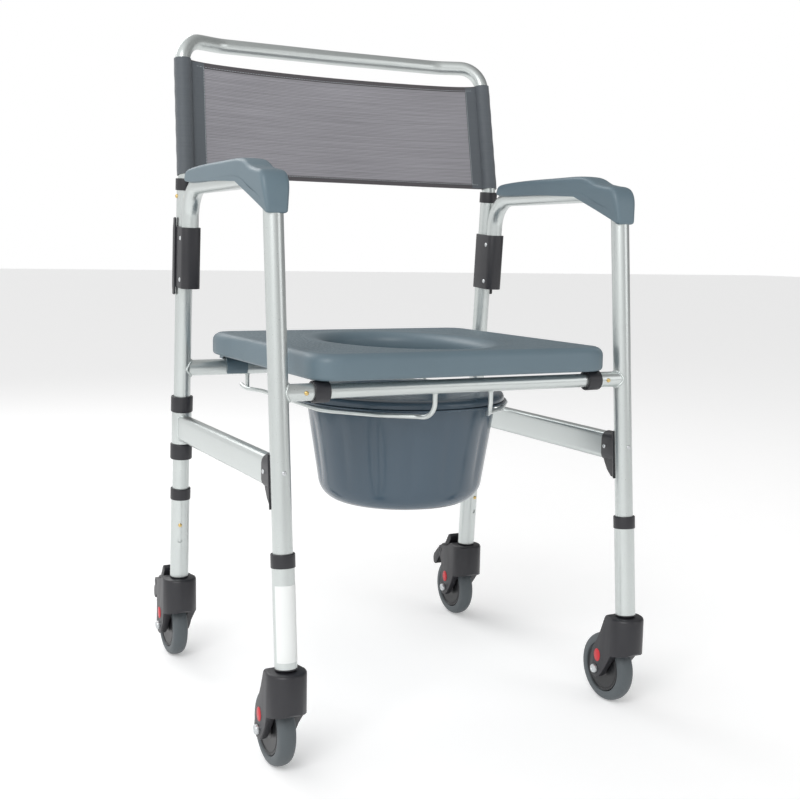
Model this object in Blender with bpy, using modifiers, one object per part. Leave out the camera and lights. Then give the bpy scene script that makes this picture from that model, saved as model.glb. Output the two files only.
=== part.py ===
"""Wheeled commode chair: aluminium tube frame, swing-out sides, seat pad, pan and backrest sling.

Metres, +Z up, +Y to the rear, standing on Z = 0 and symmetric about X = 0. It is worked out from
the middle of the four feet, and then moved so that the origin is under the middle of the whole.
"left" is the -X side and "right" the +X side, as seen from the front.
"""

import math

import bmesh
import bpy
from mathutils import Matrix, Vector

# ---- driving sizes -------------------------------------------------------------------------
TRACK = 0.528  # between the left and right legs, centre to centre
WHEELBASE = 0.4555  # between the feet of the front and rear legs
BAR_Z = 0.480  # centre of the front bar
ARM_Z = 0.745  # centre of the arm tube
POST_UP = 0.007  # top of the rear posts above the arm tube
HANDLE_UP = 0.2115  # push handle above the rear posts
FRONT_LEAN = math.radians(5.14)  # legs spread towards the floor
REAR_LEAN = math.radians(4.15)
BACK_RAKE = math.radians(9.1)  # backrest leans back above the posts

# ---- clearances ----------------------------------------------------------------------------
GAP = 0.0003  # between pieces that touch
RUN = 0.0006  # between pieces that slide or turn

# ---- tubes ---------------------------------------------------------------------------------
FRAME_R = 0.0127
FRAME_WALL = 0.0012
LEG_WALL = 0.0012
LEG_R = FRAME_R + 0.0004 + LEG_WALL  # slides over the frame tube
BACK_R = FRAME_R - FRAME_WALL - 0.0004  # slides inside the frame tube
BACK_WALL = 0.0011
STUB_R = 0.0111
STUB_WALL = 0.0012
BAR_R = STUB_R - STUB_WALL - 0.000375  # slides inside the stub
BAR_WALL = 0.0012
SIDES = 16  # facets round a tube

# ---- lower legs ----------------------------------------------------------------------------
LEG_LENGTH = 0.1385
LEG_TRAVEL = 0.0254  # pitch of the height holes
INNER_END = 0.0545  # upper tube starts this far up the lower leg
HOLE_UP = 0.0865  # upper height hole, from the foot
SOCKET_H = 0.016
LEG_COLLAR_R = LEG_R + 0.0012
LEG_COLLAR_H = 0.0175
COLLAR_LIP = 0.005  # part of a collar above the tube end that it covers

# ---- buttons -------------------------------------------------------------------------------
BUTTON_R = 0.0030
BUTTON_OUT = 0.0026  # stands proud of the outer tube
BUTTON_IN = 0.0052  # reaches inside the outer tube
BUTTON_TRAVEL = 0.0022
HOLE_R = BUTTON_R + 0.0004
POST_BUTTON_DOWN = 0.021  # backrest button below the post's top
REAR_HOLE_TURN = math.radians(16)

# ---- casters -------------------------------------------------------------------------------
WHEEL_R = 0.050
WHEEL_W = 0.024
TRAIL = 0.036
HUB_R = 0.0356
HUB_W = 0.0215
WHEEL_ROOM = 0.0035  # wheel to hood
HOOD_TOP_Z = 2 * WHEEL_R + 0.0365
HOOD_R = 0.0265
HOOD_SIDE = WHEEL_W / 2 + 0.0115  # half width over the side plates
HOOD_FRONT_Z = WHEEL_R + 0.0315
HOOD_NOSE_Z = HOOD_FRONT_Z + 0.0075  # lower end of the upright front, above the chamfer
HOOD_SOFT = 0.0035  # rounding of the top edge
BOSS_R = 0.0135
BOLT_R = 0.004
BOLT_HEAD_R = 0.0065
BOLT_HEAD_H = 0.0042
STEM_R = 0.0056
SOCKET_R = STEM_R + 0.002
STEM_UP = 0.013  # stem above the foot of the leg
FOOT_Z = HOOD_TOP_Z + 0.003  # lower end of the lower legs
PEDAL_Y = 0.050  # brake pivot behind the swivel axis
PEDAL_Z = HOOD_TOP_Z - 0.0195
PEDAL_R = 0.0085
PEDAL_PIN_R = 0.0042
PEDAL_HALF = HOOD_SIDE - 0.007
PEDAL_SWING = 0.006  # room over the tyre for the pressed pedal
PEDAL_REACH = 0.089  # rearmost point behind the swivel axis

# ---- rear frame ----------------------------------------------------------------------------
CROSS_DROP = 0.008  # cross tube below the front bar
POST_COLLAR_R = FRAME_R + 0.0018
POST_COLLAR_H = 0.0175
HINGE_COLLAR_R = FRAME_R + 0.004
HINGE_COLLAR_H = 0.024
HINGE_DROP = 0.0925  # middle of the hinge sleeve below the cross tube
SLEEVE_H = 0.050
SLEEVE_R = FRAME_R + 0.0023

# ---- side frames ---------------------------------------------------------------------------
ARM_BEND = 0.050
TUBE_SPACE = 2 * FRAME_R + 0.0008  # rear post to the arm's down tube
BRACKET_DROP = 0.058  # top of the bracket below the arm tube
BRACKET_H = 0.090
TUBE_SHORT = 0.007  # the down tube ends this far above the bracket's lower end
BRACKET_SKIN = 0.0016
STUB_END = 0.216  # |x| of the stub's open end
BAR_END = 0.243
BAR_COLLAR_IN = 0.198
BAR_COLLAR_L = 0.0215
BAR_COLLAR_R = STUB_R + 0.0031
STUB_BUTTON_X = 0.231
BRACE_H = 0.040
BRACE_T = 0.020
BRACE_WALL = 0.002
SADDLE_H = 0.068
SADDLE_LOW = 0.0425  # foot of the saddle below the middle of the brace
SADDLE_SKIN = 0.0026
SADDLE_CUP = 0.020  # how far the cup holds the brace

# ---- arm pads ------------------------------------------------------------------------------
PAD_HALF = 0.0185
PAD_OVER = 0.0130  # above the arm tube
PAD_COVER = 0.0032  # in front of the leg
PAD_BACK_GAP = 0.0508  # rear end of the pad in front of the rear post's axis
PAD_DROP = 0.046  # foot of the pad below the arm tube

# ---- backrest ------------------------------------------------------------------------------
PLUG_L = 0.090
BACK_TOP_TRACK = 0.518  # between the backrest tube's sides, at the handle
HANDLE_BEND = 0.038
HANDLE_MID_Y = 0.247
HANDLE_JOG_X = 0.190
SLING_H = 0.173
SLING_LIFT = 0.0055  # bottom hem above the end of the post collar
SLING_DIP = 0.0100  # of the top hem, at the middle
SLING_T = 0.0022
SLEEVE_T = 0.0018
SLING_IN = 0.002  # side edges of the sling from the axes of its sleeves

# ---- seat and pan --------------------------------------------------------------------------
SEAT_HALF = 0.224
SEAT_FRONT_Y = -0.224
SEAT_BACK_Y = 0.205
SEAT_T = 0.034
SEAT_CORNER = 0.032
HOLE_Y = -0.022  # middle of the seat opening
HOLE_HALF_X = 0.108
HOLE_HALF_Y = 0.152
CLIP_HALF = 0.0165
CLIP_SKIN = 0.003
RAIL_R = 0.00325
RAIL_DROP = 0.043  # rails below the front bar
RAIL_FRONT_X = 0.043
RAIL_BACK = 0.019  # rail end behind the cross tube
PAN_Y = -0.017
PAN_R = 0.139
PAN_FOOT_R = PAN_R - 0.020
PAN_DEPTH = 0.1435  # floor of the pan below the rails
PAN_CORNER = 0.033
PAN_WALL = 0.003
PAN_RIM_R = PAN_R + 0.016
LID_R = PAN_RIM_R - 0.0035
LID_T = 0.0028
LID_H = 0.0112

# ---- derived places ------------------------------------------------------------------------
HALF = TRACK / 2
CROSS_Z = BAR_Z - CROSS_DROP
HINGE_Z = CROSS_Z - HINGE_DROP
POST_TOP_Z = ARM_Z + POST_UP
HANDLE_Z = POST_TOP_Z + HANDLE_UP
BRACKET_Z1 = ARM_Z - BRACKET_DROP
BRACKET_Z0 = BRACKET_Z1 - BRACKET_H
DOWN_END_Z = BRACKET_Z0 + TUBE_SHORT
SADDLE_Z0 = HINGE_Z - SADDLE_LOW
SADDLE_Z1 = SADDLE_Z0 + SADDLE_H
PAD_FOOT_Z = ARM_Z - PAD_DROP
SLING_Z0 = POST_TOP_Z + COLLAR_LIP + SLING_LIFT
SLING_Z1 = SLING_Z0 + SLING_H
RAIL_Z = BAR_Z - RAIL_DROP
PAN_BOTTOM_Z = RAIL_Z - PAN_DEPTH
FOOT_Y = WHEELBASE / 2
END_NAMES = (("front", -1), ("rear", 1))
SIDE_NAMES = (("left", -1), ("right", 1))


def front_y(z):
    """Y of a front leg's axis at height z."""
    return -FOOT_Y + (z - FOOT_Z) * math.tan(FRONT_LEAN)


def rear_y(z):
    """Y of a rear post's axis at height z."""
    return FOOT_Y - (z - FOOT_Z) * math.tan(REAR_LEAN)


def leg_lean(end):
    """Turn about X that takes +Z to the upward direction of a front or rear leg."""
    return -FRONT_LEAN if end < 0 else REAR_LEAN


CROSS_Y = rear_y(CROSS_Z)
BAR_Y = front_y(BAR_Z)
POST_LENGTH = (POST_TOP_Z - FOOT_Z) / math.cos(REAR_LEAN)
SEAT_Z = BAR_Z + BAR_COLLAR_R + GAP
CENTRE_Y = (PEDAL_REACH - HOOD_R) / 2
RAIL_X = PAN_RIM_R - 2 * RAIL_R + 0.0015  # the rim overlaps the rail, and passes inside the drops
DROP_X = PAN_RIM_R + RAIL_R + RUN
CLIP_X = DROP_X + RAIL_R + 0.0014 + CLIP_HALF  # the seat clips pass outside the drops
KNEE_Z = POST_TOP_Z + COLLAR_LIP + 0.008  # where the backrest tube bends back
UPRIGHT = Matrix(((0, 0, 1, 0), (1, 0, 0, 0), (0, 1, 0, 0), (0, 0, 0, 1)))  # plan to side view

for old in list(bpy.data.objects):
    bpy.data.objects.remove(old, do_unlink=True)

PARTS = bpy.data.collections.new("commode_chair")
CUTTERS = bpy.data.collections.new("cutters")
CUTTERS.hide_render = True
for group in (PARTS, CUTTERS):
    bpy.context.scene.collection.children.link(group)

MATERIALS = {}


def material(name, colour, roughness, metallic=0.0):
    """A Principled BSDF finish, made once for each name."""
    if name not in MATERIALS:
        made = bpy.data.materials.new(name)
        made.use_nodes = True
        shader = made.node_tree.nodes["Principled BSDF"]
        shader.inputs["Base Color"].default_value = (*colour, 1.0)
        shader.inputs["Roughness"].default_value = roughness
        shader.inputs["Metallic"].default_value = metallic
        MATERIALS[name] = made
    return MATERIALS[name]


FINISHES = {
    "aluminium": ((0.80, 0.81, 0.81), 0.35, 0.9),
    "black_plastic": ((0.02, 0.02, 0.022), 0.45),
    "pad": ((0.12, 0.17, 0.22), 0.5),
    "pan_plastic": ((0.06, 0.09, 0.12), 0.2),
    "mesh_cloth": ((0.25, 0.26, 0.27), 0.8),
    "tyre": ((0.07, 0.08, 0.09), 0.6),
    "hub_plastic": ((0.03, 0.03, 0.03), 0.5),
    "zinc": ((0.6, 0.62, 0.63), 0.35, 1.0),
    "brass": ((0.7, 0.5, 0.2), 0.35, 1.0),
    "pedal_plastic": ((0.01, 0.01, 0.01), 0.25),
}


# ---- shape helpers -------------------------------------------------------------------------
def add(name, mesh, finish, group=PARTS):
    """Links a mesh as an object in one of the two collections."""
    obj = bpy.data.objects.new(name, mesh)
    group.objects.link(obj)
    if finish:
        obj.data.materials.clear()
        obj.data.materials.append(material(finish, *FINISHES[finish]))
    if group is CUTTERS:
        obj.hide_render = True
        obj.display_type = "WIRE"
    return obj


def from_bmesh(name, bm, finish=None, group=CUTTERS):
    """Turns a bmesh into an object, with its faces pointing out."""
    bmesh.ops.recalc_face_normals(bm, faces=bm.faces)
    mesh = bpy.data.meshes.new(name)
    bm.to_mesh(mesh)
    bm.free()
    return add(name, mesh, finish, group)


def frozen(obj, name, finish=None, group=CUTTERS):
    """A plain mesh copy of an evaluated object, in place, with its caps welded."""
    bpy.context.view_layer.update()
    mesh = bpy.data.meshes.new_from_object(obj.evaluated_get(bpy.context.evaluated_depsgraph_get()))
    mesh.transform(obj.matrix_world)
    bm = bmesh.new()
    bm.from_mesh(mesh)
    bmesh.ops.remove_doubles(bm, verts=bm.verts, dist=1e-6)
    bpy.data.objects.remove(obj, do_unlink=True)
    return from_bmesh(name, bm, finish, group)


def placed(bm, matrix):
    """Moves a whole bmesh."""
    bmesh.ops.transform(bm, matrix=matrix, verts=bm.verts)
    return bm


def along(axis):
    """Turns +Z to the X or Y axis."""
    return {"X": Matrix.Rotation(math.pi / 2, 4, "Y"), "Y": Matrix.Rotation(-math.pi / 2, 4, "X")}[axis]


def cylinder(name, radius, length, matrix, sides=SIDES):
    """A cutter or blank centred on the matrix, along its Z, with a facet facing its X."""
    bm = bmesh.new()
    bmesh.ops.create_cone(
        bm, cap_ends=True, segments=sides, radius1=radius, radius2=radius, depth=length
    )
    placed(bm, matrix @ Matrix.Rotation(math.pi / sides, 4, "Z"))
    return from_bmesh(name, bm)


def box(name, low, high):
    """A cutter or blank between two corners."""
    bm = bmesh.new()
    bmesh.ops.create_cube(bm, size=1.0)
    low, high = Vector(low), Vector(high)
    placed(bm, Matrix.Translation((low + high) / 2) @ Matrix.Diagonal((*(high - low), 1.0)))
    return from_bmesh(name, bm)


def lathe(name, profile, sides=SIDES, matrix=None, finish=None, group=CUTTERS, close=True):
    """Turns (radius, height) points about Z with a Screw modifier, and freezes the result."""
    bm = bmesh.new()
    points = [bm.verts.new((r, 0.0, z)) for r, z in profile]
    pairs = list(zip(points, points[1:]))
    if close:
        pairs.append((points[-1], points[0]))
    for a, b in pairs:
        bm.edges.new((a, b))
    mesh = bpy.data.meshes.new(name)
    bm.to_mesh(mesh)
    bm.free()
    blank = add(name + "_profile", mesh, None, CUTTERS)
    turn = blank.modifiers.new("turn", "SCREW")
    turn.steps = turn.render_steps = sides
    turn.use_merge_vertices = True
    turn.merge_threshold = 0.00001
    made = frozen(blank, name, finish, group)
    made.data.transform((matrix or Matrix()) @ Matrix.Rotation(math.pi / sides, 4, "Z"))
    return made


def combine(base, others, operation):
    """Applies Boolean modifiers with the given objects to base, and removes them."""
    for other in others:
        cut = base.modifiers.new(operation.lower(), "BOOLEAN")
        cut.operation = operation
        cut.solver = "EXACT"
        cut.object = other
    bpy.context.view_layer.update()
    mesh = bpy.data.meshes.new_from_object(base.evaluated_get(bpy.context.evaluated_depsgraph_get()))
    base.modifiers.clear()
    base.data = mesh
    for other in others:
        bpy.data.objects.remove(other, do_unlink=True)
    return base


def joined(base, *others):
    return combine(base, others, "UNION")


def cut(base, *others):
    return combine(base, others, "DIFFERENCE")


def finished(obj, name, finish):
    """Moves a worked blank into the parts collection under its own name."""
    CUTTERS.objects.unlink(obj)
    PARTS.objects.link(obj)
    obj.name = obj.data.name = name
    obj.hide_render = False
    obj.display_type = "TEXTURED"
    obj.data.materials.clear()
    obj.data.materials.append(material(finish, *FINISHES[finish]))
    smooth(obj)
    return obj


def smooth(obj):
    obj.data.shade_smooth()
    obj.data.set_sharp_from_angle(angle=math.radians(40))


def arc(centre, start, end, steps):
    """Points from start to end round a centre, on an arc of constant radius."""
    a, b = Vector(start) - Vector(centre), Vector(end) - Vector(centre)
    turn = a.angle(b)
    axis = a.cross(b).normalized()
    return [Vector(centre) + Matrix.Rotation(turn * i / steps, 3, axis) @ a for i in range(steps + 1)]


def bent(points, radii, steps=6):
    """A route of straight runs whose corners are rounded to the given bend radii."""
    points = [Vector(p) for p in points]
    route = [points[0]]
    for before, corner, after, radius in zip(points, points[1:], points[2:], radii):
        into, out = (before - corner).normalized(), (after - corner).normalized()
        half = into.angle(out) / 2
        reach = radius / math.tan(half)
        centre = corner + (into + out).normalized() * radius / math.sin(half)
        route += arc(centre, corner + into * reach, corner + out * reach, steps)
    return route + [points[-1]]


def sweep(name, route, radius, sides=SIDES):
    """A solid round bar along a route, as a bevelled curve made into a mesh."""
    curve = bpy.data.curves.new(name, "CURVE")
    curve.dimensions = "3D"
    curve.bevel_depth = radius
    curve.bevel_resolution = sides // 4 - 1
    curve.use_fill_caps = True
    curve.twist_mode = "MINIMUM"
    line = curve.splines.new("POLY")
    line.points.add(len(route) - 1)
    for point, place in zip(line.points, route):
        point.co = (*place, 1.0)
    obj = bpy.data.objects.new(name, curve)
    CUTTERS.objects.link(obj)
    return frozen(obj, name)


def longer(route, extra):
    """The same route with both ends run on, so that a bore cuts clear through."""
    first = route[0] + (route[0] - route[1]).normalized() * extra
    last = route[-1] + (route[-1] - route[-2]).normalized() * extra
    return [first, *route[1:-1], last]


def plate(name, outline, thickness, matrix, holes=()):
    """A flat outline with holes, extruded about its own plane and put in place."""
    curve = bpy.data.curves.new(name, "CURVE")
    curve.dimensions = "2D"
    curve.fill_mode = "BOTH"
    curve.extrude = thickness / 2
    for loop in (outline, *holes):
        line = curve.splines.new("POLY")
        line.points.add(len(loop) - 1)
        line.use_cyclic_u = True
        for point, place in zip(line.points, loop):
            point.co = (place[0], place[1], 0.0, 1.0)
    obj = bpy.data.objects.new(name, curve)
    obj.matrix_world = matrix
    CUTTERS.objects.link(obj)
    return frozen(obj, name)


def round_box(half_x, half_y, radius, steps=4, centre=(0.0, 0.0)):
    """Outline of a rectangle with round corners."""
    points = []
    for quarter, (sx, sy) in enumerate(((1, 1), (-1, 1), (-1, -1), (1, -1))):
        for i in range(steps + 1):
            angle = math.pi / 2 * (quarter + i / steps)
            x = sx * (half_x - radius) + radius * math.cos(angle)
            y = sy * (half_y - radius) + radius * math.sin(angle)
            points.append((centre[0] + x, centre[1] + y))
    return points


def loft(name, rings):
    """A closed body through loops of points that all have the same count."""
    bm = bmesh.new()
    loops = [[bm.verts.new(point) for point in ring] for ring in rings]
    for a, b in zip(loops, loops[1:]):
        for j in range(len(a)):
            k = (j + 1) % len(a)
            bm.faces.new((a[j], a[k], b[k], b[j]))
    bm.faces.new(loops[0])
    bm.faces.new(loops[-1])
    return from_bmesh(name, bm)


def inset(outline, amounts):
    """An anticlockwise outline with each point moved inwards by its own amount."""
    count = len(outline)
    moved = []
    for i, amount in enumerate(amounts):
        before, here, after = (Vector(outline[(i + j) % count]) for j in (-1, 0, 1))
        first, second = (here - before).normalized(), (after - here).normalized()
        inward = Vector((-first.y - second.y, first.x + second.x)).normalized()
        moved.append(here + inward * amount)
    return moved


def circle(radius, centre=(0.0, 0.0), steps=SIDES, turn=0.5):
    """Outline of a regular polygon, with a facet facing +X at turn 0.5."""
    return [
        (
            centre[0] + radius * math.cos(2 * math.pi * (i + turn) / steps),
            centre[1] + radius * math.sin(2 * math.pi * (i + turn) / steps),
        )
        for i in range(steps)
    ]


def leg_frame(side, end):
    """Matrix of a leg: origin at the lower tube's foot, Z up along the leg."""
    where = Matrix.Translation((side * HALF, end * FOOT_Y, FOOT_Z))
    return where @ Matrix.Rotation(leg_lean(end), 4, "X")


def post_height(z):
    """Distance from the foot, along a rear leg, of a point at height z."""
    return (z - FOOT_Z) / math.cos(REAR_LEAN)


def set_origin(obj, place):
    """Puts an object's origin at a world place, with its mesh where it was."""
    obj.data.transform(Matrix.Translation(-Vector(place)))
    obj.location = place


def collar(name, frame, base, height, outer, below, above, lip):
    """A moulded ring over a tube end: a wide bore below, and a lip closing on the inner tube."""
    step = height - lip
    profile = [
        (outer, base + height - 0.0015), (outer, base + 0.001), (outer - 0.001, base),
        (below + GAP, base), (below + GAP, base + step), (above + GAP, base + step),
        (above + GAP, base + height), (outer - 0.0012, base + height),
    ]  # fmt: skip
    made = lathe(name, profile, matrix=frame)
    return finished(made, name, "black_plastic")


def snap_button(name, frame, height, outer_r, turn):
    """A domed button that stands in a hole of an outer tube, pointing along its own +Z."""
    profile = [
        (0.0, BUTTON_OUT), (BUTTON_R * 0.6, BUTTON_OUT * 0.85), (BUTTON_R, BUTTON_OUT * 0.3),
        (BUTTON_R, -BUTTON_IN), (0.0, -BUTTON_IN),
    ]  # fmt: skip
    out = frame @ Matrix.Rotation(turn, 4, "Z") @ Matrix.Translation((outer_r, 0, height)) @ along("X")
    made = lathe(name, profile, sides=10, close=False)
    finished(made, name, "brass")
    made.matrix_world = out
    return made


def radial_hole(name, frame, height, turn, radius=HOLE_R, reach=0.03):
    """A cutter through one wall of a tube, pointing out at the given turn."""
    out = frame @ Matrix.Rotation(turn, 4, "Z") @ Matrix.Translation((reach / 2, 0, height)) @ along("X")
    return cylinder(name, radius, reach, out, 10)


def slot_cutter(name, frame, low, high, turn, reach=0.03):
    """A cutter for a slot along a tube, from low to high, through one wall."""
    width = 2 * (BUTTON_R + RUN)
    bm = bmesh.new()
    bmesh.ops.create_cube(bm, size=1.0)
    middle = Matrix.Translation((reach / 2, 0, (low + high) / 2))
    placed(bm, frame @ Matrix.Rotation(turn, 4, "Z") @ middle @ Matrix.Diagonal((reach, width, high - low, 1)))
    return from_bmesh(name, bm)


def hole_turn(side, end):
    """Direction of a leg's height holes, about the leg: forward and a little outward at the rear."""
    if end < 0:
        return math.pi / 2
    return -math.pi / 2 + side * REAR_HOLE_TURN


# ---- rear frame ----------------------------------------------------------------------------
def rear_frame():
    """Two posts and the cross tube, welded, with every bore open."""
    length = POST_LENGTH - INNER_END
    posts, bores, slots = [], [], []
    for name, side in SIDE_NAMES:
        frame = leg_frame(side, 1)
        middle = frame @ Matrix.Translation((0, 0, INNER_END + length / 2))
        posts.append(cylinder("post_" + name, FRAME_R, length, middle))
        bores.append(cylinder("bore_" + name, FRAME_R - FRAME_WALL, length + 0.01, middle))
        top_button = post_height(POST_TOP_Z) - POST_BUTTON_DOWN
        slots.append(radial_hole("button_" + name, frame, top_button, 0 if side > 0 else math.pi))
        low = HOLE_UP - BUTTON_R - RUN
        high = HOLE_UP + LEG_TRAVEL + BUTTON_R + RUN
        slots.append(slot_cutter("slot_" + name, frame, low, high, hole_turn(side, 1)))
    across = Matrix.Translation((0, CROSS_Y, CROSS_Z)) @ along("X")
    cross = cylinder("cross", FRAME_R - GAP, TRACK, across)
    cross_bore = cylinder("cross_bore", FRAME_R - FRAME_WALL - GAP, TRACK, across)
    body = joined(posts[0], posts[1], cross)
    return finished(cut(body, cross_bore, *bores, *slots), "rear_frame", "aluminium")


def post_fittings():
    """The collars on the rear posts: one at the top and two round each hinge sleeve."""
    for name, side in SIDE_NAMES:
        frame = leg_frame(side, 1)
        base = POST_LENGTH - (POST_COLLAR_H - COLLAR_LIP) + GAP
        collar(
            "post_collar_" + name, frame, base, POST_COLLAR_H, POST_COLLAR_R, FRAME_R, BACK_R, COLLAR_LIP
        )
        middle = post_height(HINGE_Z)
        for where, low in (
            ("upper", middle + SLEEVE_H / 2 + GAP),
            ("lower", middle - SLEEVE_H / 2 - GAP - HINGE_COLLAR_H),
        ):
            bevel = 0.0015
            profile = [
                (HINGE_COLLAR_R, low + HINGE_COLLAR_H - bevel), (HINGE_COLLAR_R, low + bevel),
                (HINGE_COLLAR_R - bevel, low), (FRAME_R + GAP, low),
                (FRAME_R + GAP, low + HINGE_COLLAR_H), (HINGE_COLLAR_R - bevel, low + HINGE_COLLAR_H),
            ]  # fmt: skip
            ring = lathe("ring", profile, matrix=frame)
            finished(ring, f"hinge_collar_{where}_{name}", "black_plastic")


# ---- front bar and rails -------------------------------------------------------------------
def front_bar():
    """The cross bar with the two bent wire rails that carry the pan welded under it."""
    middle = Matrix.Translation((0, BAR_Y, BAR_Z)) @ along("X")
    bar = cylinder("bar", BAR_R, 2 * BAR_END, middle)
    rails = []
    for _, side in SIDE_NAMES:
        top = BAR_Z - BAR_R * 0.6
        back = CROSS_Y + RAIL_BACK
        points = [
            (side * RAIL_FRONT_X, BAR_Y, top),
            (side * RAIL_FRONT_X, BAR_Y, RAIL_Z),
            (side * RAIL_FRONT_X * 1.25, BAR_Y + 0.026, RAIL_Z),
            (side * RAIL_X * 0.64, BAR_Y + 0.056, RAIL_Z),
            (side * RAIL_X, BAR_Y + 0.128, RAIL_Z),
            (side * RAIL_X, CROSS_Y - 0.040, RAIL_Z),
            (side * (DROP_X + RAIL_R), CROSS_Y, RAIL_Z),
            (side * (DROP_X + RAIL_R), back, RAIL_Z + 0.004),
        ]
        rail = sweep("rail", bent(points, (0.011, 0.02, 0.04, 0.07, 0.05, 0.03), 4), RAIL_R, 8)
        drop_top = CROSS_Z - FRAME_R - GAP
        middle_z = (drop_top + RAIL_Z) / 2
        drop = cylinder(
            "drop", RAIL_R, drop_top - RAIL_Z, Matrix.Translation((side * DROP_X, CROSS_Y, middle_z)), 8
        )
        rails.append(joined(rail, drop))
    bar = joined(bar, *rails)
    bore = cylinder("bar_bore", BAR_R - BAR_WALL, 2 * BAR_END + 0.01, middle)
    slots = []
    for _, side in SIDE_NAMES:
        width = BUTTON_R + RUN
        inner = side * (STUB_BUTTON_X - width)
        outer = side * (BAR_END + 0.002)
        slots.append(
            box("slot", (min(inner, outer), BAR_Y - 0.02, BAR_Z - width),
                (max(inner, outer), BAR_Y, BAR_Z + width))
        )  # fmt: skip
    return finished(cut(bar, bore, *slots), "front_bar", "aluminium")


# ---- side frames ---------------------------------------------------------------------------
def side_route(side):
    """Centre line of the bent tube: front leg, arm and the run down beside the rear post."""
    start_z = FOOT_Z + INNER_END * math.cos(FRONT_LEAN)
    down_y = rear_y(ARM_Z) - TUBE_SPACE
    end_y = rear_y(DOWN_END_Z) - TUBE_SPACE
    x = side * HALF
    points = [
        (x, front_y(start_z), start_z), (x, front_y(ARM_Z), ARM_Z),
        (x, down_y, ARM_Z), (x, end_y, DOWN_END_Z),
    ]  # fmt: skip
    return bent(points, (ARM_BEND, ARM_BEND), 7)


def side_tube(name, side):
    """The bent side tube with its welded stub for the front bar."""
    route = side_route(side)
    tube = sweep("tube", route, FRAME_R)
    bore = sweep("tube_bore", longer(route, 0.005), FRAME_R - FRAME_WALL)
    stub_length = HALF - STUB_END
    stub_at = Matrix.Translation((side * (HALF - stub_length / 2), BAR_Y, BAR_Z)) @ along("X")
    stub = cylinder("stub", STUB_R, stub_length, stub_at)
    stub_bore = cylinder("stub_bore", STUB_R - STUB_WALL, stub_length + 0.006, stub_at)
    stub_bore.data.transform(Matrix.Translation((-side * 0.003, 0, 0)))
    hole = cylinder(
        "hole", HOLE_R, 0.02,
        Matrix.Translation((side * STUB_BUTTON_X, BAR_Y - 0.01, BAR_Z)) @ along("Y"), 10,
    )  # fmt: skip
    slot = slot_cutter(
        "slot", leg_frame(side, -1), HOLE_UP - BUTTON_R - RUN,
        HOLE_UP + LEG_TRAVEL + BUTTON_R + RUN, hole_turn(side, -1),
    )  # fmt: skip
    made = cut(joined(tube, stub), bore, stub_bore, hole, slot)
    return finished(made, "side_tube_" + name, "aluminium")


def bar_collar(name, side):
    """The ring at the mouth of the stub."""
    lip = STUB_END - BAR_COLLAR_IN - GAP
    inward = Matrix.Translation((side * (BAR_COLLAR_IN + BAR_COLLAR_L), BAR_Y, BAR_Z))
    inward = inward @ Matrix.Rotation(-side * math.pi / 2, 4, "Y")
    collar("bar_collar_" + name, inward, 0.0, BAR_COLLAR_L, BAR_COLLAR_R, STUB_R, BAR_R, lip)


def side_brace(name, side):
    """The flat oval brace welded to the sleeve that turns on the rear post."""
    frame = leg_frame(side, 1)
    middle = post_height(HINGE_Z)
    sleeve = cylinder(
        "sleeve", SLEEVE_R, SLEEVE_H, frame @ Matrix.Translation((0, 0, middle)), SIDES
    )
    sleeve_bore = cylinder(
        "sleeve_bore", FRAME_R + GAP, SLEEVE_H + 0.01, frame @ Matrix.Translation((0, 0, middle))
    )
    front = front_y(HINGE_Z) + FRAME_R + GAP + SADDLE_SKIN + GAP
    back = rear_y(HINGE_Z) - FRAME_R
    at = Matrix.Translation((side * HALF, (front + back) / 2, HINGE_Z)) @ along("Y")
    outline = round_box(BRACE_T / 2, BRACE_H / 2, BRACE_T / 2 - 0.0002, 4)
    brace = plate("brace", outline, back - front, at)
    inner = round_box(
        BRACE_T / 2 - BRACE_WALL, BRACE_H / 2 - BRACE_WALL, BRACE_T / 2 - BRACE_WALL - 0.0002, 3
    )
    depth = back - front - 0.02
    hollow_at = Matrix.Translation((side * HALF, front + depth / 2 - 0.005, HINGE_Z)) @ along("Y")
    hollow = plate("hollow", inner, depth + 0.01, hollow_at)
    made = cut(joined(brace, sleeve), sleeve_bore, hollow)
    return finished(made, "side_brace_" + name, "aluminium")


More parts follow.
